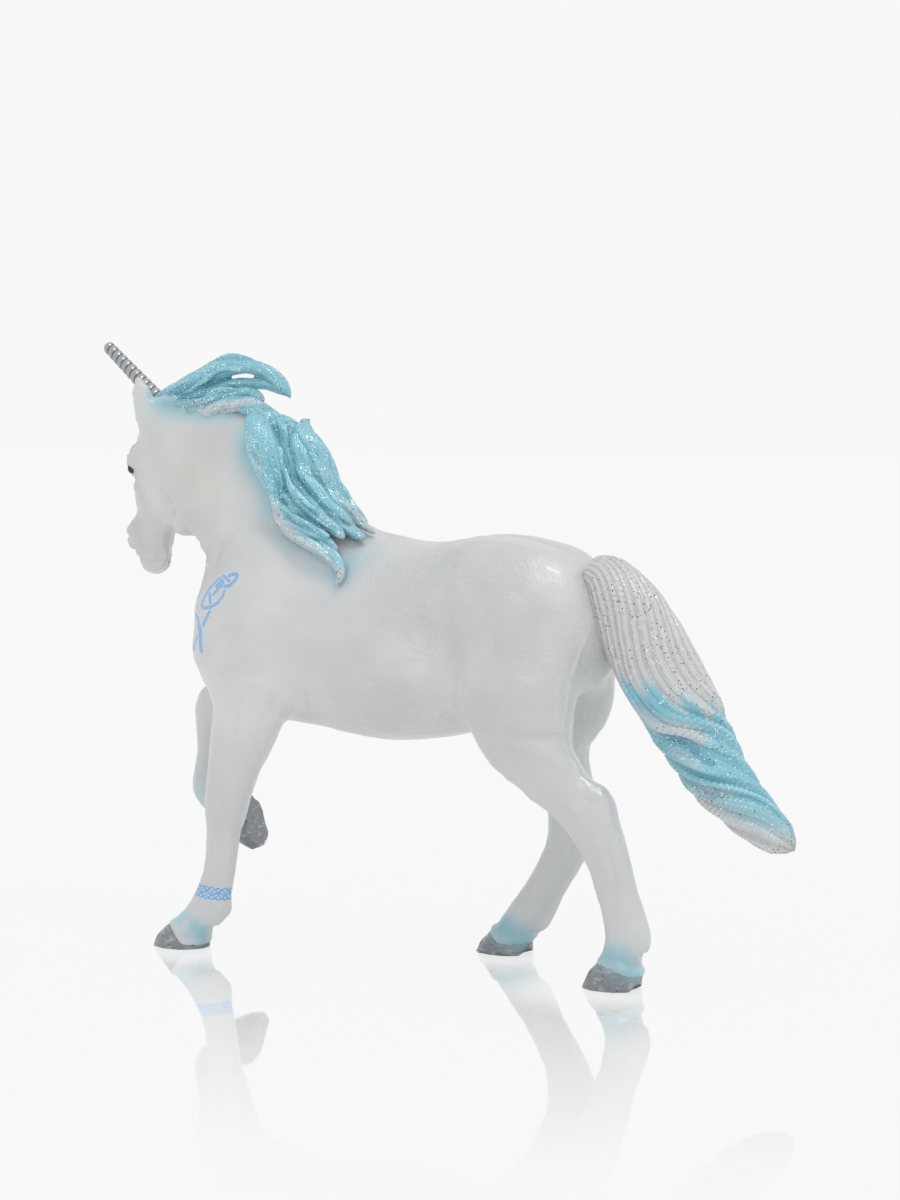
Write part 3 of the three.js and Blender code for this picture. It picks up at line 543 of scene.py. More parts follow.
left_leg_lines = [
    ([(22.8, -15.1, 44.1), (27.5, -14.9, 43.2), (31.9, -13.2, 43.3), (33.6, -11, 42.5)], 0.9, -0.4),
    ([(28, -14.7, 40.8), (31.8, -13.8, 40), (35, -13.3, 37)], 1.1, 0.3),
    ([(25, -14.9, 41), (26.4, -14.5, 38.3)], 0.9, -0.3),
    ([(36.7, -6.3, 62.6), (35.5, -8.1, 59.2), (34, -10.4, 51.5), (33.4, -11.4, 43.7),
      (35.8, -11.3, 38.6), (39.4, -12.9, 34.3)], 0.45, 0.3),
    ([(34.9, -14.3, 31.7), (37.8, -14.5, 30.4)], 1.0, 0.4),
    ([(37.6, -14.3, 33.8), (41, -12.6, 31.6)], 0.8, -0.35),
    ([(42, -13.7, 27.1), (43.1, -13.5, 22.8), (44.2, -13.5, 15.9)], 0.7, -0.35),
    ([(42, -7.9, 27.1), (43.1, -8.1, 22.8), (44.2, -8.1, 15.9)], 0.7, -0.35),
    ([(-30.4, -14.1, 49), (-31.3, -14.2, 44.9), (-32.5, -14.3, 38.8), (-33.6, -13.9, 33.2)], 0.9, -0.4),
    ([(-34.4, -14, 30.7), (-34.7, -13.4, 23.8), (-36, -13.2, 15)], 0.7, -0.35),
    ([(-34.4, -7, 30.7), (-34.7, -7.8, 23.8), (-36, -8.2, 15)], 0.7, -0.35),
    ([(-39.4, -12.6, 28.6), (-40, -10.2, 28.4), (-39.4, -8.2, 28.6)], 0.8, 0.35),
    ([(-39.4, -12.6, 25.2), (-39.8, -10.2, 25), (-39.2, -8.2, 25.2)], 0.6, -0.3),
]
right_leg_lines = [
    ([(20, 14.9, 44), (24, 14.4, 42), (28, 12.6, 41)], 0.9, -0.4),
    ([(24.8, 14.2, 29.4), (27.4, 14, 27.6)], 1.0, 0.35),
    ([(24.9, 13.6, 21.4), (22.4, 13.4, 15.6), (20.6, 13.6, 12)], 0.7, -0.35),
    ([(25.3, 7.4, 24.1), (24, 7.8, 19.5), (21.6, 8, 14.5)], 0.7, -0.35),
    ([(-38, 13.6, 46.2), (-45, 13.2, 44.8)], 0.9, -0.35),
    ([(-50.2, 12.1, 37), (-50.4, 11.7, 31)], 0.7, -0.35),
    ([(-50.2, 6.2, 37), (-50.4, 6.4, 31)], 0.7, -0.35),
    ([(-46.6, 11.6, 41), (-46.8, 9, 40.4), (-46.6, 6.4, 41)], 0.7, -0.4),
]
# The meeting of the head and the throat, which the turned head makes different on each side
throat_lines = [
    ([(-55.4, 4.4, 68), (-55.8, 4.8, 71), (-56, 5, 74.5)], 2.0, -1.0),
    ([(-57.4, 5, 72.6), (-56.4, 4.2, 70.8), (-56.2, 4.1, 69.4), (-57.2, 4.4, 67.4)], 1.3, -1.3),
    ([(-55.6, 3.6, 79), (-54, 2.4, 78.8), (-51.5, 0.2, 78.2), (-49.4, -1.2, 77.6)], 1.7, 1.7),
    ([(-47.2, -0.8, 77.6), (-44.6, -2.6, 75.4), (-43.9, -3.4, 73.2)], 1.5, 1.5),
    ([(-43.3, -4.6, 71.6), (-43.8, -4.9, 68.8), (-44, -5, 65)], 2.0, -0.95),
    ([(-64.4, 2.3, 78.6), (-63.8, 2.2, 76.3), (-63, 2.6, 73.4)], 1.6, 1.1),
    ([(-64.3, 1.7, 75.6), (-63.3, 2.4, 73.9), (-62.7, 2.9, 71.8)], 1.5, 0.8),
    ([(-63.4, 1.6, 86.4), (-62.8, 2.2, 81.4)], 1.8, 0.45),
    ([(-62.6, 1.2, 88.2), (-62.7, 1.7, 86.2), (-62.9, 1.5, 84.4)], 1.2, 0.4),
    ([(-63.9, 0.7, 89.6), (-63.6, 0.9, 87.2)], 1.3, 0.55),
    ([(-62.6, 1.2, 94.8), (-63.9, 1.1, 93), (-64.3, 0.9, 91.4)], 1.3, -0.85),
]
# Round the pasterns, the heels and the toes
foot_lines = [
    ([(-39.6, -13.4, 3.9), (-38.6, -10.75, 3.8), (-39.6, -8.1, 3.9)], 0.8, -0.6),
    ([(17.2, 8.1, 4.6), (18.2, 10.75, 4.6), (17.2, 13.4, 4.6)], 0.8, -0.6),
    ([(47.4, -13.4, 5.5), (48.4, -10.75, 5.5), (47.4, -8.1, 5.5)], 1.0, -1.2),
    ([(-44.1, -13.3, 8.5), (-44.9, -10.75, 8.7), (-44.1, -8.2, 8.5)], 1.4, -0.7),
    ([(-36.4, -13.2, 7.2), (-35.2, -10.7, 7.4), (-36.4, -8.2, 7.2)], 1.3, 0.3),
    ([(-44, -14, 4.2), (-41.5, -14.4, 3.4), (-39.4, -13.4, 2.2)], 0.8, 0.3),
    ([(43.8, -14.2, 5), (46, -14, 3.8), (47.6, -12.6, 2.8)], 0.9, 0.3),
    ([(-49.2, -12.8, 1.6), (-49.8, -10.75, 1.8), (-49.2, -8.7, 1.6)], 1.4, 0.45),
    ([(38.4, -12.8, 2.8), (37.9, -10.75, 3), (38.4, -8.7, 2.8)], 1.5, 0.7),
    ([(48, -14, 0), (48.8, -10.75, 0), (48, -7.4, 0)], 2.4, -0.9),
    ([(17, 7.4, 0), (17.8, 10.75, 0), (17, 14, 0)], 2.4, -0.9),
    ([(7.2, 8.7, 2), (6.6, 10.75, 2.2), (7.2, 12.8, 2)], 1.4, 0.45),
]
# In the head's own frame, on its left side
face_lines = [
    ([(0, 5, -3.6), (-3, 5.2, -6.8), (-6.2, 4.6, -10.2), (-9.5, 3.4, -14), (-10.9, 3.3, -15.4)], 1.5, -0.3),
    ([(-4.1, 4.8, -12.5), (-4.6, 4.1, -14.1), (-4.8, 3, -15.7)], 0.9, -0.75),
    ([(-10.8, 3.3, -16.2), (-7.4, 3, -17.7), (-2, 1.1, -19.9)], 1.0, 0.6),
    ([(4.6, 3.9, -12.5), (3.4, 4, -14.6), (2.4, 3.4, -17)], 0.9, 0.3),
    ([(3.8, 4.8, -9.6), (4.8, 5.1, -8.7), (6.2, 4.8, -8.6), (7, 3.9, -9.4)], 0.45, 0.35),
    ([(3.8, 4.7, -10.2), (4.9, 4.7, -11.2), (6.2, 4.2, -11.1), (7, 3.6, -10.4)], 0.4, 0.25),
    ([(4.9, 4.8, -9.5), (5.5, 4.6, -10), (6, 4.3, -10.5)], 0.9, 0.65),
    ([(5.6, 0.8, -26.0), (4.4, 2.2, -26.5), (1.1, 2.6, -26.9), (-1.5, 1.6, -25.8)], 0.42, -0.4),
    ([(6.9, 3, -21), (6.2, 3.7, -22.3)], 0.5, -0.5),
    ([(4.6, 4.1, 0.4), (5.0, 4.4, 2.6), (5.1, 4.7, 4.8)], 0.85, -0.9),
    ([(1.2, 5.2, -10.8), (-1.2, 5.3, -14)], 1.6, 0.3),
    ([(7.4, 0.8, -12), (7.3, 1.2, -17)], 0.8, 0.2),
]


def hoof_rim(level):
    """A hoof swells a little above its dark wall, over a fine groove."""
    return 0.16 * np.exp(-(((level + 0.7) / 0.6) ** 2)) - 0.12 * np.exp(-(((level - 0.2) / 0.35) ** 2))


def body_skin():
    mesh = moulded(body_copies(), body_voxel)
    places = places_of(mesh)
    places = relaxed(places, edges_of(mesh), smoothing_weight(places), smoothing_rounds)
    move_to(mesh, places)
    places = places_of(mesh) - normals_of(mesh) * skin_growth
    move_to(mesh, places + normals_of(mesh) * hoof_rim(hoof_level(places))[:, None])
    sculpt(mesh, mirrored(flank_lines) + middle_lines + left_leg_lines + right_leg_lines)
    sculpt(mesh, throat_lines + foot_lines)
    sculpt(mesh, [
        ([tuple(head_frame @ Vector(place)) for place in path], reach, rise)
        for path, reach, rise in mirrored(face_lines)
    ])
    return mesh


# Seams, as in the CAD: each piece is what lies beyond all its planes.
fore_seam = ((-32, -3, 42), (0, -0.68, -0.73))
raised_seam = ((-41.6, 9, 45.8), (-0.97, 0, -0.25))
neck_seam = ((-30, 0, 75), (-0.47, 0, 0.88))


def hind_seams(side):
    """The seams of a hind leg. The side is -1 on the left and 1 on the right."""
    return [
        ((25, 2 * side, 45.5), (0, 0.63 * side, -0.77)),
        ((10.5, 0, 44), (1, 0, -0.32)),
        ((0, 0.15 * side, 0), (0, side, 0)),
    ]


rooms = {
    "head_and_neck": [neck_seam],
    "left_foreleg": [fore_seam, ((-21, 0, 0), (-1, 0, 0)), ((0, -1, 0), (0, -1, 0))],
    "right_foreleg": [raised_seam, ((0, 3.4, 0), (0, 1, 0)), ((-42, 0, 51), (-0.23, 0, -0.97))],
    "left_hindleg": hind_seams(-1),
    "right_hindleg": hind_seams(1),
}


def room(node):
    """A block cut down to what lies beyond a piece's seam planes."""
    bm = bmesh.new()
    bmesh.ops.create_cube(bm, size=400)
    for point, normal in rooms[node]:
        cut = bmesh.ops.bisect_plane(
            bm, geom=[*bm.verts, *bm.edges, *bm.faces], plane_co=point, plane_no=normal, clear_inner=True
        )
        rim = [edge for edge in cut["geom_cut"] if isinstance(edge, bmesh.types.BMEdge)]
        bmesh.ops.contextual_create(bm, geom=rim)
    bmesh.ops.recalc_face_normals(bm, faces=bm.faces)
    return link("room_" + node, mesh_of(bm, "room_" + node))


def cut_to(skin, operation, cutters):
    """The skin cut by each cutter in turn. It keeps the shading of the whole skin across the seams."""
    whole = link("whole_skin", skin)
    piece = link("cutting", skin.copy())
    for cutter in cutters:
        boolean = piece.modifiers.new("cut", "BOOLEAN")
        boolean.operation = operation
        boolean.solver = "MANIFOLD"
        boolean.object = cutter
    shading = piece.modifiers.new("shading", "DATA_TRANSFER")
    shading.object = whole
    shading.use_loop_data = True
    shading.data_types_loops = {"CUSTOM_NORMAL"}
    shading.loop_mapping = "POLYINTERP_NEAREST"
    made = evaluated(piece)
    bpy.data.objects.remove(piece)
    bpy.data.objects.remove(whole)
    return made


# What the paint reads from the mesh
def store(mesh, name, values):
    attribute = mesh.attributes.new(name, "FLOAT", "POINT")
    attribute.data.foreach_set("value", values.astype(np.float32))


def wall_top(back, heel, start, end):
    """The height at which a hoof's dark wall ends, from its toe to its heel."""
    return heel + (wall_height - heel) * (1 - smoothstep(back, start, end))


def hoof_level(places):
    """How far each place is below the top of a hoof's dark wall, in millimetres."""
    level = np.full(len(places), -50.0)
    for (x, y, _), *fall in hooves:
        near = (np.abs(places[:, 0] - x) < 9) & (np.abs(places[:, 1] - y) < 7)
        below = wall_top(places[:, 0] - x, *fall) - places[:, 2]
        level = np.where(near, np.maximum(level, below), level)
    local = seen_in(raised_hoof, places)
    near = (np.abs(local[:, 0]) < 8) & (np.abs(local[:, 1]) < 7) & (np.abs(local[:, 2]) < 9)
    return np.where(near, np.maximum(level, wall_top(local[:, 0], *raised_fall) - local[:, 2]), level)


def spray(places, paths):
    """How strongly the airbrush has coloured each place: it fades away from the paths it followed."""
    amount = np.zeros(len(places))
    for path, reach, strength in paths:
        amount = np.maximum(amount, strength * np.exp(-((along_path(places, path)[0] / reach) ** 2)))
    return amount


def fur_amount(places):
    """The hair is combed deepest on the flank and the thighs, and hardly at all on the face and legs."""
    rear = smoothstep(places[:, 0], -14, 2)
    legs = smoothstep(places[:, 2], 34, 46)
    head = smoothstep(places[:, 0], -44, -34)
    return 0.22 + 0.28 * legs * head + 0.5 * rear * legs


def add_body(skin):
    skin.shade_smooth()
    cutters = {node: room(node) for node in rooms}
    paint = body_paint()
    for node in body_nodes:
        if node == "torso":
            mesh = cut_to(skin, "DIFFERENCE", cutters.values())
        else:
            mesh = cut_to(skin, "INTERSECT", [cutters[node]])
        places = places_of(mesh)
        store(mesh, "hoof", hoof_level(places))
        store(mesh, "fur", fur_amount(places))
        store(mesh, "leg", smoothstep(places[:, 2], 46, 30))
        for name, paths in sprayed.items():
            store(mesh, name, spray(places, paths))
        set_in_place("painted_" + node, mesh, paint, node)
    for cutter in cutters.values():
        bpy.data.objects.remove(cutter)


# Hair
def tube(bm, path, across, sides):
    """Bends a grid into a closed tube along a path of rows [x, y, z, half depth, half width]."""
    rings = len(path)
    made = bmesh.ops.create_grid(bm, x_segments=sides, y_segments=rings - 1, size=0.5)["verts"]
    flat = np.array([vert.co for vert in made]) + 0.5
    angle = 2 * math.pi * flat[:, 0]
    k = np.rint(flat[:, 1] * (rings - 1)).astype(int)
    end = np.sqrt(np.clip(np.minimum(flat[:, 1], 1 - flat[:, 1]) / 0.05, 0, 1))[:, None]
    wide, deep = cross_axes(path, across)
    placed = path[k, :3] + end * wide[k] * (path[k, 4] * np.cos(angle))[:, None]
    placed += end * deep[k] * (path[k, 3] * np.sin(angle))[:, None]
    for vert, place in zip(made, placed):
        vert.co = place
    bmesh.ops.remove_doubles(bm, verts=made, dist=0.004)


def cross_axes(path, across):
    """The directions of each section's width and depth."""
    along = unit(np.gradient(path[:, :3], axis=0))
    wide = unit(np.array(across) - (along @ np.array(across))[:, None] * along)
    return wide, np.cross(along, wide)


class Hair:
    """A moulded mass of hair: strands, and the thinner wisps that lie on them, run together in one skin."""

    def __init__(self, strands, seed, across=(0.1, 1, 0.2), winding=lambda v: 40 * v):
        self.chance = np.random.default_rng(seed)
        self.across = across
        self.winding = winding
        self.bm = bmesh.new()
        self.paths = [smooth_path([[*s, s[3]][:5] for s in strand]) for strand in strands]
        for path in self.paths:
            tube(self.bm, path, across, 28)

    def wisps(self, per_strand, thickness, standing, start=0):
        """Lays tapered wisps along the strands, each from a place of its own to another."""
        for path in self.paths:
            wide, deep = cross_axes(path, self.across)
            for i in range(per_strand):
                first = int(len(path) * self.chance.uniform(start, start + 0.3))
                last = int(len(path) * self.chance.uniform(0.7, 1))
                rows = slice(first, last)
                t = np.linspace(0, 1, last - first)
                share = np.linspace(first, last, last - first) / len(path)
                drift = self.chance.uniform(-0.3, 0.5) * t
                angle = 2 * math.pi * (i + self.chance.uniform(-0.3, 0.3)) / per_strand + drift
                angle = (angle + np.radians(self.winding(share)))[:, None]
                size = path[rows, 3:5]
                out = wide[rows] * size[:, 1:] * np.cos(angle) + deep[rows] * size[:, :1] * np.sin(angle)
                thin = thickness * size.mean(axis=1) * np.sin(math.pi * np.clip(t, 0.02, 0.98)) ** 0.4
                line = np.column_stack([path[rows, :3] + standing * out, thin, thin])
                tube(self.bm, line, self.across, 10)

    def laid(self, paths):
        """Lays wisps along paths on the surface, each with its thickness."""
        for path, radius in paths:
            path = smooth_path(path, 6)
            thin = radius * np.sin(math.pi * np.linspace(0.04, 0.96, len(path))) ** 0.4
            tube(self.bm, np.column_stack([path, thin, thin]), self.across, 10)

    def nearest(self, places):
        """For each place, its strand, its share along it, the angle round it and the radius there."""
        rows = np.vstack(self.paths)
        axes = [cross_axes(path, self.across) for path in self.paths]
        wide = np.vstack([a[0] for a in axes])
        deep = np.vstack([a[1] for a in axes])
        ahead = np.vstack([np.gradient(path[:, :3], axis=0) for path in self.paths])
        strand = np.repeat(np.arange(len(self.paths)), [len(path) for path in self.paths])
        count = np.array([len(path) for path in self.paths])[strand] - 1
        step = np.concatenate([np.arange(len(path)) for path in self.paths])
        radius = rows[:, 3:5].mean(axis=1)
        best = np.empty(len(places), int)
        for block in np.array_split(np.arange(len(places)), 1 + len(places) // 4000):
            away = np.linalg.norm(places[block, None] - rows[None, :, :3], axis=2) - radius
            best[block] = away.argmin(axis=1)
        out = places - rows[best, :3]
        beyond = (out * ahead[best]).sum(axis=1) / (ahead[best] ** 2).sum(axis=1)
        share = np.clip((step[best] + np.clip(beyond, -0.6, 0.6)) / count[best], 0, 1)
        high = (out * deep[best]).sum(axis=1) / rows[best, 3]
        side = (out * wide[best]).sum(axis=1) / rows[best, 4]
        return strand[best], share, np.arctan2(high, side), radius[best]

    def comb(self, mesh, flutes, lumps):
        """Presses flutes into the skin that run along the strands and wind with them.

        Each flute set is its number round a strand and its depths from the root to the end.
        """
        places = places_of(mesh)
        strand, share, angle, radius = self.nearest(places)
        turned = angle - np.radians(self.winding(share))
        rise = np.zeros(len(places))
        for count, depths in flutes:
            depth = np.interp(share, np.linspace(0, 1, len(depths)), depths)
            wander = 1.1 * np.sin(6 * share + 2 * turned + 3 * strand)
            wander += 0.6 * np.sin(5 * turned - 9 * share)
            rise += depth * np.cos(count * turned + wander)
        rise += lumps * np.sin(19 * share + 2 * turned + 2.1 * strand) * np.sin(7 * share + strand)
        rise *= smoothstep(radius, 0.45, 1.5)
        move_to(mesh, places + normals_of(mesh) * rise[:, None])

    def piece(self, name, node, slot, paint, flutes, lines, pale, rounds=14, lumps=0.3):
        mesh = moulded(mesh_of(self.bm, name + "_source"), hair_voxel)
        even = np.ones(len(mesh.vertices))
        move_to(mesh, relaxed(places_of(mesh), edges_of(mesh), even, rounds))
        self.comb(mesh, flutes, lumps)
        sculpt(mesh, lines)
        move_to(mesh, relaxed(places_of(mesh), edges_of(mesh), even, 2))
        places = places_of(mesh)
        _, share, angle, _ = self.nearest(places)
        turned = angle - np.radians(self.winding(share))
        store(mesh, "turn_x", np.cos(turned))
        store(mesh, "turn_y", np.sin(turned))
        # The relief guides the hair's painted shade and highlights
        store(mesh, "relief", relief_of(mesh, 10))
        store(mesh, "white", pale(places, share, angle))
        store(mesh, "deep", spray(places, hollow_shade_paths))
        store(mesh, "painted_hair_shade", spray(places, painted_hair_shade_paths))
        mesh.shade_smooth()
        set_in_place(name, mesh, paint, node)


left_mane_strands = [
    [[-32.5, -3.2, 98.6, 1.9], [-32.1, -4.4, 97.2, 2.6], [-30.7, -5.6, 94.1, 3.2], [-28.4, -6.4, 89.6, 2.7],
     [-26.1, -7.1, 85, 1.9], [-24.8, -8, 81.4, 1.8], [-21.9, -8.8, 78.1, 1.8], [-16.6, -9.6, 75.2, 1.7],
     [-12.5, -10.4, 73, 1.3], [-10.7, -11.6, 70.4, 0.8], [-11.6, -12.4, 68.2, 0.3]],
    [[-28.6, -1.4, 97.2, 1.7], [-26.9, -2.4, 94.6, 2.0], [-25.2, -3.8, 91.4, 2.0], [-23.7, -5.4, 87, 2.0],
     [-21, -7, 83.4, 1.9], [-17.6, -7.8, 80.8, 1.6], [-13.8, -8.4, 78.6, 1.1], [-11.2, -9, 76.8, 0.45]],
    [[-25.6, -1.8, 96, 1.8], [-24, -3.4, 92.4, 2.1], [-21.8, -4.8, 88.6, 1.8], [-19.2, -5.6, 85.4, 1.6],
     [-15.9, -6.2, 82.6, 1.3], [-12.7, -6.6, 80.6, 0.8], [-11, -6.8, 79.6, 0.35]],
    [[-26.7, -6.4, 87.3, 1.1], [-24.8, -7, 84.5, 1.6], [-22.5, -7.6, 82, 1.6], [-19, -8.2, 79.7, 1.4],
     [-15.3, -8.8, 77.6, 0.8]],
    [[-21.5, -4.8, 87.3, 1.2], [-17.8, -5.4, 83.8, 1.6], [-14.1, -6, 80.2, 1.6], [-11, -6.2, 77.9, 1.2],
     [-8.4, -6.2, 76.8, 0.5]],
    [[-34.1, -2.2, 98.2, 1.8], [-30.2, -1.8, 96.6, 2.0], [-26.8, -1.4, 95.2, 1.9],
     [-23.6, -1.2, 93.8, 1.6]],
    [[-27, -6.4, 86.6, 1.2], [-25.4, -8.4, 82.4, 1.5], [-22.6, -9.4, 79.6, 1.5], [-18.4, -9.6, 77.9, 1.3],
     [-14.6, -9.4, 76.2, 0.9], [-12.2, -9.8, 74.8, 0.4]],
]
crest_mane_strands = [
    [[-25.6, -0.6, 97.4, 1.7], [-23.4, -1.6, 94.8, 2.1], [-21.4, -2.4, 91.8, 2.2], [-19.3, -3, 88.3, 2.0],
     [-17, -3.5, 85, 1.8], [-13.7, -3.8, 82, 1.4], [-10.5, -4, 79.4, 0.9], [-7.6, -4, 77.5, 0.35]],
    [[-31.3, 1.4, 99.2, 1.4], [-27.4, 1.6, 96, 1.6], [-24, 1.4, 94, 1.8], [-21.3, 1.2, 90.4, 1.7],
     [-19.1, 0.8, 86.8, 1.6], [-16.6, 0.4, 83.6, 1.3], [-13.6, 0, 81, 1.0], [-11, -0.4, 78.6, 0.4]],
    [[-38.4, -0.8, 101, 1.1], [-35, -1, 100, 1.5], [-31.6, -1, 98.5, 1.6], [-28.6, -0.8, 97, 1.6],
     [-26, -0.4, 95.6, 1.4]],
    [[-23.6, -3, 92.6, 1.2], [-22.4, -4, 88.4, 1.4], [-20.4, -4.6, 84.8, 1.4], [-16.8, -5, 82, 1.1],
     [-13.4, -5.2, 79.8, 0.5]],
    [[-24.6, 0.8, 94, 1.3], [-24.9, 0.6, 96.8, 1.0], [-24.9, 0.5, 98.5, 0.95]],
]
right_mane_strands = [
    [[-33.4, 4, 99, 1.8], [-32.6, 6.6, 95.4, 2.4], [-30.6, 8.2, 91, 2.5], [-28.4, 8.4, 87, 2.2],
     [-25.4, 8.4, 83, 1.8], [-22, 8.6, 79.6, 1.2], [-20, 9, 77, 0.5]],
    [[-29.4, 3.6, 97.4, 1.8], [-27.8, 5.8, 93.6, 2.4], [-25.4, 6.6, 89.4, 2.3], [-22.4, 6.8, 85.6, 2],
     [-19.6, 7, 82.2, 1.5], [-17.2, 7.4, 79.4, 0.6]],
]
forelock_strands = [
    [[-58.6, 3.4, 102, 1.2], [-56.9, 3, 102.8, 1.5], [-53.1, 2.8, 103.8, 1.7], [-48.8, 2.4, 105.8, 1.9],
     [-45, 2.2, 107.5, 2.0], [-40.9, 2.1, 108.6, 1.8], [-36.8, 2, 108.1, 1.6], [-32.9, 1.9, 106.5, 1.5],
     [-30.4, 1.9, 104.5, 1.2], [-28.6, 1.9, 102.2, 0.4]],
    [[-57.6, 2.6, 101, 1.4], [-54.2, 2.4, 101.4, 1.8], [-51.1, 2.4, 101.9, 1.8], [-48, 2.2, 103, 1.7],
     [-44.4, 2.1, 104.4, 1.5], [-40.4, 2, 105, 1.2], [-37.1, 1.9, 105, 1.0], [-34.1, 1.9, 105, 1.1],
     [-31.2, 1.9, 104.2, 1.0], [-29, 1.9, 102.6, 0.4]],
    [[-56.4, 1.2, 100.6, 1.2], [-53.1, 0.8, 100.6, 1.5], [-48.8, 0.6, 100.7, 1.5], [-44.7, 0.4, 101.6, 1.4],
     [-41.1, 0.4, 102.7, 1.3], [-37.5, 0.6, 103.2, 1.1], [-35, 0.6, 102.6, 0.9], [-33.8, 0.6, 101.4, 0.5]],
    [[-50.4, -0.4, 99.9, 0.8], [-46.7, -0.8, 99.7, 1.2], [-43.4, -1, 100.2, 1.5], [-40, -1, 101, 1.5],
     [-36.8, -1, 101.1, 1.4], [-33.8, -0.8, 100.3, 1.3], [-30.7, -0.8, 98.9, 1.2], [-28.4, -1, 97.4, 0.8]],
]
tail_stations = [
    [33.0, -0.4, 70.4, 3.6, 3.6], [36.9, -1.4, 69.6, 5.1, 4.5], [40.5, -2, 65.9, 6.4, 5.3],
    [43.8, -2, 60.5, 7.2, 5.5], [47.4, -2, 54.4, 7.6, 5.3], [51.5, -2, 47.9, 7.1, 5.1],
    [54.8, -2, 42.4, 6.2, 4.8], [58.4, -2, 37, 5.5, 4.5], [62.5, -2, 32.5, 4.6, 4],
    [67.4, -2, 28.5, 3.7, 3.1], [72.5, -2, 24.9, 2.2, 1.8],
]
tail_turns = [17, 42, 67, 89, 105, 91, 27, -33, -91, -133, -148]

# Wisps that lie on the strands: the places along each and its thickness
left_mane_wisps = [
    ([(-31.8, -6.6, 96.7), (-32.2, -7.8, 94.1), (-30.6, -8.6, 91), (-28.1, -8.8, 88.3), (-26.5, -9, 85.6),
      (-25.9, -9.4, 82.5), (-24.8, -10, 80.2)], 0.7),
    ([(-26.6, -6.2, 93.4), (-24.8, -7, 89.4), (-22.4, -8.2, 86), (-19.4, -9, 83.4),
      (-16, -9.2, 81.2)], 0.7),
    ([(-24.6, -9.4, 82.8), (-21, -10.4, 80.6), (-17.4, -10.4, 79), (-13.6, -10, 77)], 0.6),
    ([(-24.2, -10, 79.4), (-20, -11, 77.4), (-15.6, -11.4, 75.2), (-12.6, -12, 72.6)], 0.6),
]
left_mane_lines = [
    ([(-29.4, -7.6, 93), (-27, -7.6, 88.6), (-25.2, -8, 85), (-23.4, -9, 82.2)], 0.8, -0.5),
    ([(-25.6, -6.4, 92), (-23.2, -7, 87.6), (-20, -8.4, 84.4), (-16.4, -8.6, 82.4)], 0.7, -0.45),
    ([(-23.4, -9.6, 81), (-19.6, -9.6, 79.4), (-15.6, -9.2, 78)], 0.7, -0.5),
]
crest_mane_wisps = [
    ([(-24, -3, 95), (-22, -4.2, 91.4), (-20.2, -4.8, 87.8), (-17.6, -5.4, 84.8)], 0.6),
    ([(-20.6, -4.4, 88.6), (-18.4, -5, 85.4), (-15, -5.2, 82.4), (-11.8, -5, 80.2)], 0.5),
    ([(-22, 0, 95.4), (-19.4, -0.8, 91.4), (-17.4, -1.8, 87.6), (-14.6, -2.2, 84.4),
      (-11.4, -2.8, 81.4)], 0.6),
    ([(-19.6, 0.4, 90.4), (-17.4, -0.2, 86.4), (-14.6, -0.8, 83.2)], 0.5),
]
crest_mane_lines = [([(-23.3, -4.4, 92), (-21.8, -5, 88.7), (-19.6, -5.4, 86)], 0.9, -0.7)]
forelock_wisps = [
    ([(-56.9, 2, 103.6), (-53.6, 1.4, 104.6), (-50.4, 1, 105.6), (-47.4, 1, 107.2)], 0.6),
    ([(-52.6, 0.8, 103), (-48.6, 0.4, 104.4), (-45.4, 0.2, 106.4), (-42, 0.2, 107.8),
      (-38, 0.4, 107.6)], 0.6),
    ([(-50.4, -0.2, 101.6), (-46.4, -0.4, 102.4), (-42.8, -0.6, 103.8), (-39.4, -0.4, 104.2)], 0.5),
    ([(-44.8, -2, 99.9), (-41.6, -2.2, 101), (-38, -2, 101.4), (-34.6, -2, 100.6), (-31.6, -2.2, 99)], 0.5),
    ([(-45.4, 1.6, 109), (-42, 1.6, 110.2), (-38.4, 1.4, 110), (-35, 1.4, 108.6)], 0.6),
    ([(-53.4, 2.6, 105.2), (-50.8, 2.6, 106.2), (-48.6, 2.4, 107.6)], 0.5),
]
tail_lines = [
    ([(44.3, -4.6, 47.9), (49.3, -6.4, 45.5), (53.7, -6.9, 45.2), (56.9, -7, 44),
      (59.3, -6.1, 41.5)], 1.1, 0.5),
    ([(47.8, -5.2, 43.6), (53.7, -6.8, 43), (56.9, -6.8, 40.8), (59.5, -6.5, 39)], 0.9, -0.75),
    ([(50.5, -4.5, 41), (54, -6.6, 39.9), (57.8, -6.8, 38.4), (61.1, -5.7, 38)], 0.8, 0.3),
    ([(55, -5.2, 34), (60, -6, 33.6), (65, -4.8, 32.5)], 0.8, -0.4),
]
tail_middle = -2

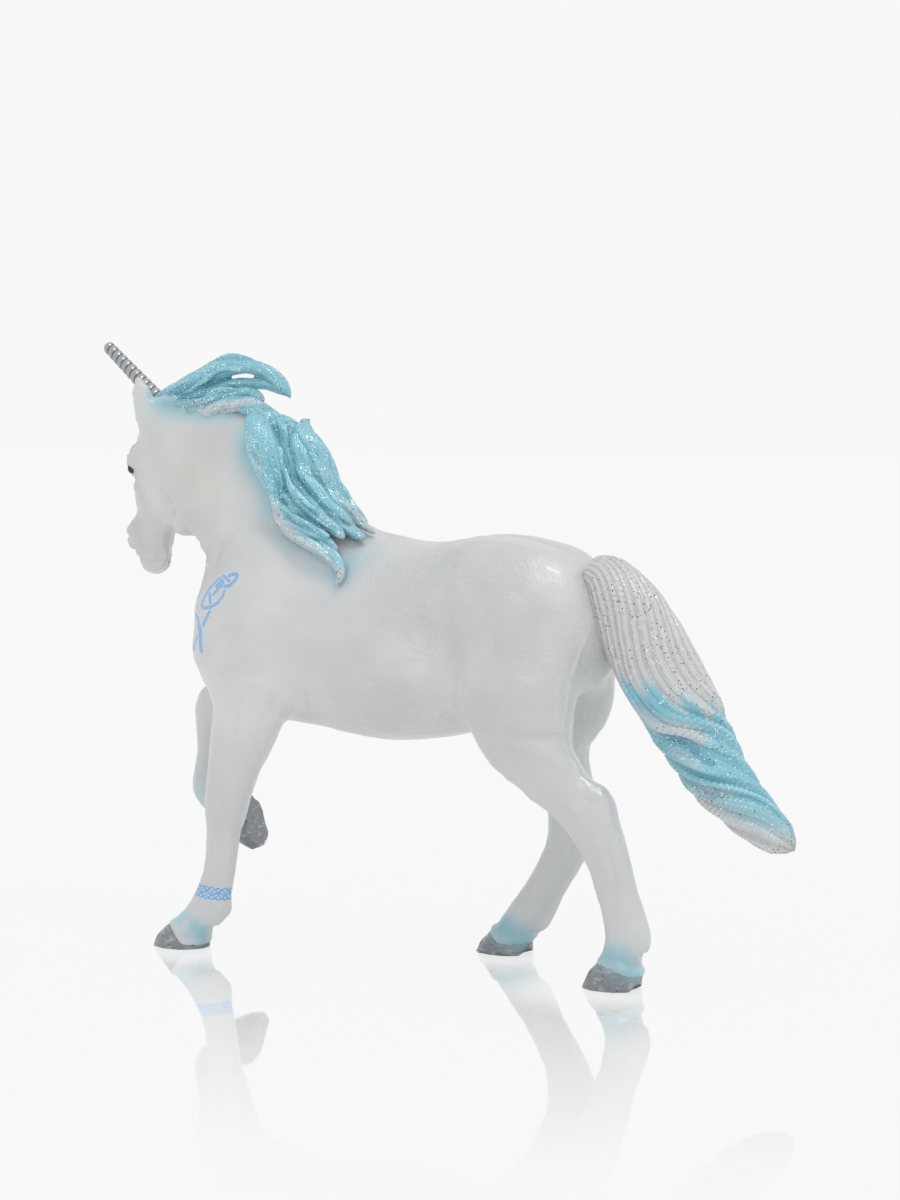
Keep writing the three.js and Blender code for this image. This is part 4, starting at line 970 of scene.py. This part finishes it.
# Where paint or gloss follows the form: the path of the airbrush, its reach and its strength
spray_paths = [
    ([(-35.4, -4.4, 97), (-35, -5.2, 93.4), (-33, -6, 89.4), (-29.8, -7, 85.4),
      (-28.8, -8, 82.6)], 2.3, 1.0),
    ([(-28.8, -8, 82.6), (-25, -9.6, 77.4), (-20, -10.6, 74.4), (-15.6, -11.4, 71.4)], 1.9, 0.45),
    ([(-12, -11.8, 71.4), (-10, -11, 74), (-6.6, -10.2, 76)], 3.0, 0.9),
    ([(-33.4, 4, 99), (-32.6, 6.6, 95.4), (-30.6, 8.2, 91), (-28.4, 8.4, 87), (-25.4, 8.4, 83),
      (-22, 8.6, 79.6), (-20, 9, 77)], 4.2, 0.8),
    ([(-60, 3.5, 99.6), (-50, 2.5, 100), (-38, 2, 100)], 3.0, 0.7),
    ([(-57.6, 0.4, 101.4), (-54, -1.2, 100), (-46, -2, 99.2), (-40, -1.8, 99)], 1.7, 0.55),
    ([(-58, 0.6, 102.4), (-56.6, 0.2, 101.4)], 1.5, 0.9),
    ([(-56, 0.2, 101.6), (-50, -0.4, 101.4), (-45, -1, 101)], 2.2, 0.9),
    ([(-43.8, -13.2, 5.8), (-43.8, -10.7, 6.6)], 2.2, 0.7),
    ([(-40.6, -13.6, 3.8), (-39.4, -12.6, 2.4)], 1.8, 0.9),
    ([(45, -14, 5.6), (41, -12, 6.4)], 2.6, 0.85),
    ([(46.6, -13.8, 4.2), (47.6, -12, 3)], 2.0, 0.95),
    ([(9.6, 8, 6.2), (12.4, 7.6, 5.2), (14.6, 7.4, 3.8), (16.4, 8.2, 2.8)], 2.6, 1.0),
    ([(-47.5, 8.9, 23.5), (-50, 9, 26)], 3.6, 0.6),
]
# Grey airbrush on the heels, and painted shade on the poll under the forelock
grey_airbrush_and_shade_paths = [
    ([(-54.4, -0.6, 101.2), (-49, -1.2, 100.4), (-45, -1.8, 99.8)], 1.7, 0.7),
    ([(12.4, 7.6, 5.2), (15, 7.4, 3.8)], 2.2, 0.55),
    ([(42, -14, 6), (46.6, -13.8, 4.6)], 2.2, 0.5),
    ([(-40.6, -13.6, 3.8), (-39.4, -12.6, 2.4)], 1.6, 0.4),
]
gloss_paths = [
    ([(20, -11, 72), (27, -11, 71), (32, -9, 69)], 6, 1.0),
    ([(30, -13.6, 52), (35, -13.5, 38), (38, -13.5, 32), (42, -12.5, 28)], 5, 1.0),
    ([(24, -14, 62), (22, -14, 52)], 6, 0.4),
]
warm_paths = [([(-44.1, -3.6, 85), (-48.6, -1.8, 89.8)], 5.0, 0.7)]
sprayed = {"spray": spray_paths, "grey_airbrush_and_shade": grey_airbrush_and_shade_paths, "gloss": gloss_paths, "warm": warm_paths}
mane_pale_paths = [
    ([(-26, -9.6, 82), (-24, -10.4, 79.4), (-20, -11, 76.6), (-15, -11.6, 73.6),
      (-11.4, -12.4, 70)], 1.5, 0.85),
    ([(-31.6, -7.6, 92.4), (-29.4, -8.2, 89.4)], 1.4, 0.35),
    ([(-20.5, 0.8, 90.7), (-16.4, -0.2, 84), (-9.3, -1.8, 77.9)], 1.2, 0.3),
    ([(-12.4, -0.5, 80), (-9.3, -1.2, 77.9)], 1.6, 0.7),
    ([(-13.4, -4.2, 81.4), (-8.4, -4.4, 77.8)], 1.7, 0.75),
    ([(-10.7, -12, 70.8), (-11.6, -12.4, 68)], 1.6, 0.8),
]
# Painted highlights along the upper locks, and the white under the tip
tail_white_and_highlight_paths = [
    (tail_lines[0][0][:4], 1.5, 0.85),
    ([(44.3, -4.6, 47.2), (48, -5.6, 44.8)], 1.6, 0.5),
    ([(52, -6, 41), (56, -6.6, 39.2)], 1.3, 0.4),
    ([(53.6, -5.6, 36), (62, -6.1, 34.2)], 1.1, 0.4),
    ([(56, -4, 31), (62, -4.4, 28.2), (70.5, -3.4, 25)], 3.4, 1.25),
]
# Painted shade in grey, under the base of the forelock and down a hollow of the crest lock
painted_hair_shade_paths = [
    ([(-53, 0, 100.8), (-46.8, -0.8, 100.2)], 1.5, 0.75),
    ([(-20, -3.6, 88.6), (-16.6, -4.2, 84.6), (-12, -4.4, 81)], 1.8, 0.4),
]
# Painted shade: the turquoise is darkened in these hollows
hollow_shade_paths = [
    ([(-28.4, -6.8, 91.8), (-26.8, -7.8, 88), (-25.4, -8.4, 84.6), (-23, -8.6, 82.2)], 1.3, 0.7),
    ([(-25.1, -4.4, 94.6), (-23.4, -4.6, 91.8), (-21.9, -4.8, 88.7), (-20.1, -5.5, 85.5),
      (-18, -6, 82.2)], 1.7, 0.9),
    ([(-20.7, -9.8, 80), (-17.4, -8.4, 80), (-14.6, -7.9, 78.3)], 0.9, 0.7),
    ([(-56, 0.6, 102.2), (-50, 0, 103), (-44, 0, 104.4)], 1.2, 0.7),
    ([(-42, 0.4, 103.4), (-37, 0.4, 103)], 1.0, 0.7),
    ([(-21.6, -0.4, 94.6), (-18.6, -1.6, 89.6), (-15.6, -2.4, 85)], 2.4, 0.7),
    ([(46.5, -5.8, 49.6), (51.5, -6.8, 48.4), (56.6, -6.4, 47.6)], 1.6, 0.7),
    ([(54, -5.8, 36.6), (59, -6.4, 35), (57.4, -5.6, 32.4)], 1.6, 0.9),
]


def mane_pale(places, share, _):
    """The locks end in white tips, and the lowest lock is white along its near edge."""
    return np.maximum(0.5 * smoothstep(share, 0.86, 1), spray(places, mane_pale_paths))


def forelock_pale(places, *_):
    """The lower bands of the forelock are left paler where they lie on the crest."""
    low = smoothstep(places[:, 2] - 0.12 * (places[:, 0] + 45), 102.0, 100.4)
    return 0.7 * low * smoothstep(places[:, 0], -50, -45) * smoothstep(places[:, 0], -31, -36)


def tail_white_and_highlight(places, share, angle):
    """The tail is white to its middle and under its tip, with painted highlights along its upper locks."""
    ripple = 1.3 * np.cos(10 * angle + 5 * share) + 0.5 * np.cos(27 * angle)
    edge = places[:, 2] - 52.4 + 0.32 * np.maximum(places[:, 0] - 46, 0)
    upper = smoothstep(edge + ripple, -1.8, 1.4)
    return np.maximum(upper, spray(places, mirrored(tail_white_and_highlight_paths, tail_middle)))


def add_hair():
    paint = hair_paint("turquoise_paint", 26, 0.9)
    soft_flutes = [(5, (0.02, 0.1, 0.06)), (13, (0.02, 0.05, 0.04))]
    masses = [
        ("left_mane_locks", "left_mane", left_mane_strands, (2, 0.4, 0.66, 0.25), left_mane_wisps,
         left_mane_lines, mane_pale),
        ("crest_mane_locks", "crest_mane", crest_mane_strands, (2, 0.4, 0.66, 0.2), crest_mane_wisps,
         crest_mane_lines, mane_pale),
        ("right_mane_locks", "right_mane", right_mane_strands, (4, 0.4, 0.7), [], [], mane_pale),
        ("flying_forelock", "forelock", forelock_strands, (2, 0.4, 0.7), forelock_wisps, [], forelock_pale),
    ]
    for seed, (name, node, strands, loose, laid, lines, pale) in enumerate(masses, 1):
        mass = Hair(strands, seed)
        mass.wisps(*loose)
        mass.laid(laid)
        mass.piece(name, node, "turquoise_hair", paint, soft_flutes, lines, pale)


def tail_winding(share):
    """How far the tail's strands have turned: one way at first, then fast the other way past the middle."""
    turning = smooth_path(list(enumerate(tail_turns)))
    return np.interp(share * (len(tail_turns) - 1), turning[:, 0], turning[:, 1])


def add_tail():
    tail = Hair([tail_stations], 5, (0, 1, 0), tail_winding)
    coarse = (8, (0.02, 0.06, 0.1, 0.3, 0.4, 0.36, 0.12))
    fine = (28, (0.08, 0.12, 0.12, 0.08, 0.06, 0.05, 0.05))
    paint = hair_paint("tail_paint", 72, 0.5)
    lines = mirrored(tail_lines, tail_middle)
    tail.piece(
        "twisted_tail", "tail", "pearl_tail", paint, [coarse, fine], lines, tail_white_and_highlight, rounds=10, lumps=0
    )


# Horn
def add_horn():
    """Bends a grid into the horn, with one rounded ridge that winds up it."""
    bm = bmesh.new()
    ridge = bm.verts.layers.float.new("ridge")
    made = bmesh.ops.create_grid(bm, x_segments=horn_sides, y_segments=horn_rings, size=0.5)["verts"]
    for vert in made:
        angle = 2 * math.pi * (vert.co.x + 0.5)
        share = vert.co.y + 0.5
        height = share * horn_length
        bead = abs(math.cos(0.5 * angle - math.pi * height / horn_ridge_pitch)) ** 0.6
        radius = horn_base_radius + (horn_tip_radius - horn_base_radius) * share
        radius -= horn_ridge_depth * (1 - bead)
        left = min(1, (horn_length - height) / horn_tip_radius)
        radius *= math.sqrt(max(0, 1 - (1 - left) ** 2)) * min(1, height / 0.2)
        vert[ridge] = bead
        around = Vector((radius * math.cos(angle), radius * math.sin(angle), height - horn_sunk))
        vert.co = horn_frame @ around
    bmesh.ops.remove_doubles(bm, verts=bm.verts, dist=0.003)
    bmesh.ops.recalc_face_normals(bm, faces=bm.faces)
    mesh = mesh_of(bm, "silver_horn")
    mesh.shade_smooth()
    set_in_place("silver_horn", mesh, horn_paint(), "horn")


# Paints
def glitter(paint, share):
    """Flakes in loose drifts: how much of a flake is here, and a number of its own."""
    inputs = {"Scale": 1 / (flake_spacing * MM), "Vector": paint.place}
    away = paint.node("ShaderNodeTexVoronoi", {}, inputs, "Distance")
    wanted, own, size = paint.parts(away.beside("Color"))
    drift = paint.noise(paint.place, 260, 2).step(0.4, 0.62) * 0.7 + 0.3
    near = away < (size * 0.6 + 0.4) * (flake_radius / flake_spacing)
    return (wanted < drift * share) * near, own


def fur(paint):
    """The combed coat: short strokes that sweep back and down, and rings round the hollow of the flank."""
    swirl = paint.vector("SUBTRACT", {0: paint.noise(paint.place, 70, 1, "Color"), 1: (0.5,) * 3})
    bent = paint.vector("MULTIPLY_ADD", {0: swirl, 1: (fur_sway * MM,) * 3, 2: paint.place})
    fine, coarse = [
        paint.noise(paint.stretched(bent, size, (0, fur_slope, 0)), 1, 2)
        for size in (fine_strokes, coarse_strokes)
    ]
    x, _, z = paint.parts(bent)
    x = (x / MM - frame_shift[0] - flank_hollow[0]) * 1.3
    z = (z / MM - flank_hollow[1]) * 0.8
    far = (x * x + z * z).math("SQRT")
    rings = (far * 7.6 + coarse * 5).math("SINE") * 0.5 + 0.5
    return fine * 0.8 + coarse * 0.5 + rings * far.step(8, 2.5) * 0.3


def body_paint():
    paint = Paint("pearl_body_paint")
    soft = paint.noise(paint.place, 60, 2)
    cloud = paint.noise(paint.place, 350, 3)
    # The pearl changes at random between two tones, and is darker towards the bottom, on the legs
    colour = paint.mix(soft.step(0.35, 0.7) * (1 - paint.attribute("leg") * 0.7), pearl_shade, pearl_white)
    colour = paint.mix(paint.attribute("warm"), colour, pearl_warm)
    spray_amount = (paint.attribute("spray") * (0.8 + 0.4 * cloud)).clamped()
    colour = paint.mix(spray_amount, colour, airbrush_blue)
    # Grey airbrush on the heels, and painted shade on the poll under the forelock
    colour = paint.mix((paint.attribute("grey_airbrush_and_shade") * (0.7 + 0.6 * cloud)).clamped(), colour, airbrush_and_shade_grey)
    colour = chest_knot(paint, colour)
    colour = cannon_band(paint, colour)
    colour, eye = eyes(paint, colour)
    edge = paint.noise(paint.place, 900, 2) * 0.7 - 0.35
    hoof = (paint.attribute("hoof") + edge).step(-0.12, 0.12)
    speck = paint.noise(paint.place, 2600, 2)
    streak = paint.noise(paint.stretched(paint.place, hoof_streaks), 1, 3)
    grey = paint.mix(speck.step(0.56, 0.7), hoof_grey, hoof_dark)
    grey = paint.mix(streak.step(0.52, 0.7), grey, hoof_worn)
    grey = paint.mix(spray_amount * 0.5, grey, airbrush_blue)
    colour = paint.mix(hoof, colour, grey)
    height = fur(paint) * (paint.attribute("fur") + 0.3 * hoof)
    gloss = paint.attribute("gloss")
    paint.set(
        Base_Color=colour,
        Roughness=0.42 + 0.06 * soft - 0.3 * eye - 0.12 * gloss,
        Metallic=0.1 + 0.3 * hoof - 0.1 * eye,
        Coat_Weight=0.35 + 0.65 * gloss,
        Coat_Roughness=0.24,
        Normal=paint.bump(height, 0.3, 0.8),
    )
    return paint.material


def drawn(paint, spot, path):
    """The distance of a spot on a flat chart from a drawn line."""
    nearest = None
    for a, b in zip(path[:-1], path[1:]):
        reach = Vector((b[0] - a[0], b[1] - a[1], 0))
        out = paint.vector("SUBTRACT", {0: spot, 1: (*a, 0)})
        way = paint.vector("DOT_PRODUCT", {0: out, 1: reach / reach.length_squared}, "Value")
        back = paint.vector("SCALE", {0: -reach, "Scale": way.clamped()})
        away = paint.vector("LENGTH", {0: paint.vector("ADD", {0: out, 1: back})}, "Value")
        nearest = away if nearest is None else nearest.math("MINIMUM", away)
    return nearest


def chest_knot(paint, colour):
    """A traditional knot on each breast. Its ends run round the chest towards those of the other."""
    x, y, up = paint.figure_place()
    x = x - chest_axis_x
    spot = paint.joined(y.math("ABSOLUTE").math("ARCTAN2", x * -1) * chest_radius, up, 0)
    here = (x < -3) * (x + up * 0.4 > 0.8)
    for strand in knot_strands:
        away = drawn(paint, spot, strand)
        for half_width, tint in ((knot_edge_half_width, knot_pale), (knot_half_width, knot_blue)):
            inside = away.step(half_width + knot_blur, half_width - knot_blur)
            colour = paint.mix(inside * here, colour, tint)
    return colour


def cannon_band(paint, colour):
    """A braided band painted round the left fore cannon."""
    x, y, z = paint.figure_place()
    x = x - cannon_axis[0]
    y = y - cannon_axis[1]
    rough = paint.noise(paint.place, 1400, 2) * 0.4 - 0.2
    up = z - band_middle + x * 0.12 + rough
    turn = y.math("ARCTAN2", x) * band_loops + rough * 2
    here = (x.math("ABSOLUTE") < 6) * (y.math("ABSOLUTE") < 6)
    edge = band_half_height + 0.12 * (turn * 2).math("COSINE")
    inside = (up.math("ABSOLUTE") - edge).step(0.1, -0.06) * here
    colour = paint.mix(inside, colour, band_fill)
    for phase, reach in ((0, 0.75), (math.pi, 0.75), (math.pi / 2, 0.3)):
        wave = (turn + phase).math("SINE") * reach
        away = (up - wave).math("ABSOLUTE")
        colour = paint.mix(away.step(0.24, 0.12) * inside, colour, band_line)
    rim = (up.math("ABSOLUTE") - edge + 0.12).math("ABSOLUTE").step(0.2, 0.08)
    return paint.mix(rim * inside, colour, band_line)


def eyes(paint, colour):
    """Black glossy eyes, almond shaped, on both sides of the head."""
    place = paint.joined(*paint.figure_place())
    inverse = head_frame.inverted()
    local = [
        paint.vector("DOT_PRODUCT", {0: place, 1: row[:3]}, "Value") + row[3] for row in inverse[:3]
    ]
    across = (local[0] - eye_at.x) / eye_size[0]
    outward = (local[1].math("ABSOLUTE") - eye_at.y) / eye_size[1]
    up = (local[2] - eye_at.z) / eye_size[2]
    far = (across * across + up * up + outward * outward).math("SQRT")
    eye = far.step(1.0, 0.86)
    rim = far.step(1.35, 0.95)
    colour = paint.mix(rim * 0.5, colour, eye_rim)
    return paint.mix(eye, colour, eye_black), eye


def hair_paint(name, lines_round, flakes):
    """Turquoise or white hair with combed lines, so many round a strand, and a share of glitter."""
    paint = Paint(name)
    relief = paint.attribute("relief")
    soft = paint.noise(paint.place, 130, 2)
    fine = paint.noise(paint.place, 700, 2)
    turned = paint.attribute("turn_y").math("ARCTAN2", paint.attribute("turn_x"))
    combed = (turned * lines_round + (soft + fine) * 5).math("SINE")
    # Painted shade darkens the grooves and hollows, painted highlight pales the ridges, over random tone
    level = relief / relief_step + (soft - 0.5) * 2.4 + combed * 0.3 - paint.attribute("deep") * 1.6
    colour = paint.mix(level.step(-2.2, 0.4), hair_dark_tone_and_shade, hair_turquoise)
    colour = paint.mix(level.step(0.5, 2.6) * 0.8, colour, hair_pale_tone_and_highlight)
    # White hair is greyed with painted shade in its grooves
    pale = paint.mix((relief / relief_step + combed * 0.3).step(-1.4, 0.8), hair_shade, hair_white)
    white = (paint.attribute("white") + (fine - 0.5) * 0.25).clamped()
    colour = paint.mix(white, colour, pale)
    # Painted shade in grey, under the forelock and in a hollow of the crest lock
    colour = paint.mix(paint.attribute("painted_hair_shade"), colour, airbrush_and_shade_grey)
    flake, chance = glitter(paint, flakes)
    dark_share = 0.28 + 0.2 * paint.attribute("white")
    colour = paint.mix(flake * (chance > dark_share), colour, flake_bright)
    colour = paint.mix(flake * (chance < dark_share), colour, flake_dark)
    paint.set(
        Base_Color=colour,
        Roughness=0.36 - 0.14 * flake,
        Metallic=0.1 + 0.7 * flake,
        Coat_Weight=0.35,
        Coat_Roughness=0.18,
        Normal=paint.bump(combed * 0.5 + chance * flake * 2, 0.09, 0.6),
    )
    return paint.material


def horn_paint():
    paint = Paint("silver_horn_paint")
    speck = paint.noise(paint.place, 3000, 2)
    # Painted shade: the grooves of the horn are painted darker than its ridge
    paint.set(
        Base_Color=paint.mix(paint.attribute("ridge").step(0.25, 0.85), horn_groove_shade, horn_silver),
        Roughness=0.26 + 0.14 * speck,
        Metallic=0.8,
        Normal=paint.bump(speck, 0.04, 0.4),
    )
    return paint.material


# Camera, light and floor
def add_camera():
    lens = bpy.data.cameras.new("camera")
    lens.lens = camera_lens
    lens.sensor_width = camera_film
    lens.clip_start = 0.01
    camera = link("camera", lens)
    camera.rotation_euler = (math.pi / 2 - camera_tip, 0, camera_turn)
    camera.location = to_frame @ camera_at
    bpy.context.scene.camera = camera


def add_key_light():
    """A far soft lamp, which lights every part alike."""
    lamp = bpy.data.lights.new("key", "SUN")
    lamp.energy = key_strength
    lamp.angle = key_spread
    link("key", lamp).rotation_euler = key_direction.to_track_quat("-Z", "Y").to_euler()


def add_world():
    """Even light from all round. The camera and mirrors see the backdrop in its place."""
    world = bpy.data.worlds.new("studio")
    bpy.context.scene.world = world
    nodes = Nodes(world)
    direct = nodes.node("ShaderNodeLightPath", {}, {}, "Is Camera Ray")
    shown = direct.math("MAXIMUM", direct.beside("Is Glossy Ray"))
    shown = shown.math("MAXIMUM", direct.beside("Is Transmission Ray"))
    lit = nodes.node("ShaderNodeBackground", {}, {"Color": world_tint, "Strength": world_level})
    seen = nodes.node("ShaderNodeBackground", {}, {"Color": plain_white, "Strength": backdrop_level})
    nodes.feed(nodes.tree.nodes["World Output"].inputs["Surface"], nodes.shared(shown, lit, seen))


def mirror_share(paint):
    """How much the floor mirrors the figure: less with the distance from it, and little by its soles."""
    x, y, _ = paint.parts(paint.place)

    def far(across, along):
        return (across * across + along * along).math("SQRT")

    across, along = [
        (line.math("ABSOLUTE") - size * MM).math("MAXIMUM", 0) for line, size in zip((x, y), footprint)
    ]
    share = far(across, along).step(*[edge * MM for edge in mirror_fade]) * floor_mirror
    for (foot_x, foot_y, _), *_ in hooves:
        away = far(x - (foot_x + frame_shift[0]) * MM, y - (foot_y + frame_shift[1]) * MM)
        share = share * (away.step(*[edge * MM for edge in foot_fade]) * (1 - foot_mirror) + foot_mirror)
    return share


def add_floor():
    """A glowing white floor with a soft mirror. Only the camera sees it so: to the rest it is matt."""
    bm = bmesh.new()
    bmesh.ops.create_grid(bm, x_segments=1, y_segments=1, size=floor_half_size)
    mesh = mesh_of(bm, "floor")
    paint = Paint("floor_paint")
    seen = paint.node("ShaderNodeLightPath", {}, {}, "Is Camera Ray")
    matt = paint.node("ShaderNodeBsdfDiffuse", {}, {"Color": floor_matt})
    glow = paint.node("ShaderNodeEmission", {}, {"Strength": floor_glow})
    gloss = paint.node("ShaderNodeBsdfGlossy", {}, {"Color": plain_white, "Roughness": floor_roughness})
    shade = paint.shared(floor_shade, paint.shared(mirror_share(paint), glow, gloss), matt)
    paint.feed(paint.tree.nodes["Material Output"].inputs["Surface"], paint.shared(seen, matt, shade))
    mesh.materials.append(paint.material)
    link("floor", mesh)


add_camera()
add_world()
add_key_light()
add_floor()
add_body(body_skin())
add_hair()
add_tail()
add_horn()
bpy.context.scene.view_settings.view_transform = "Standard"
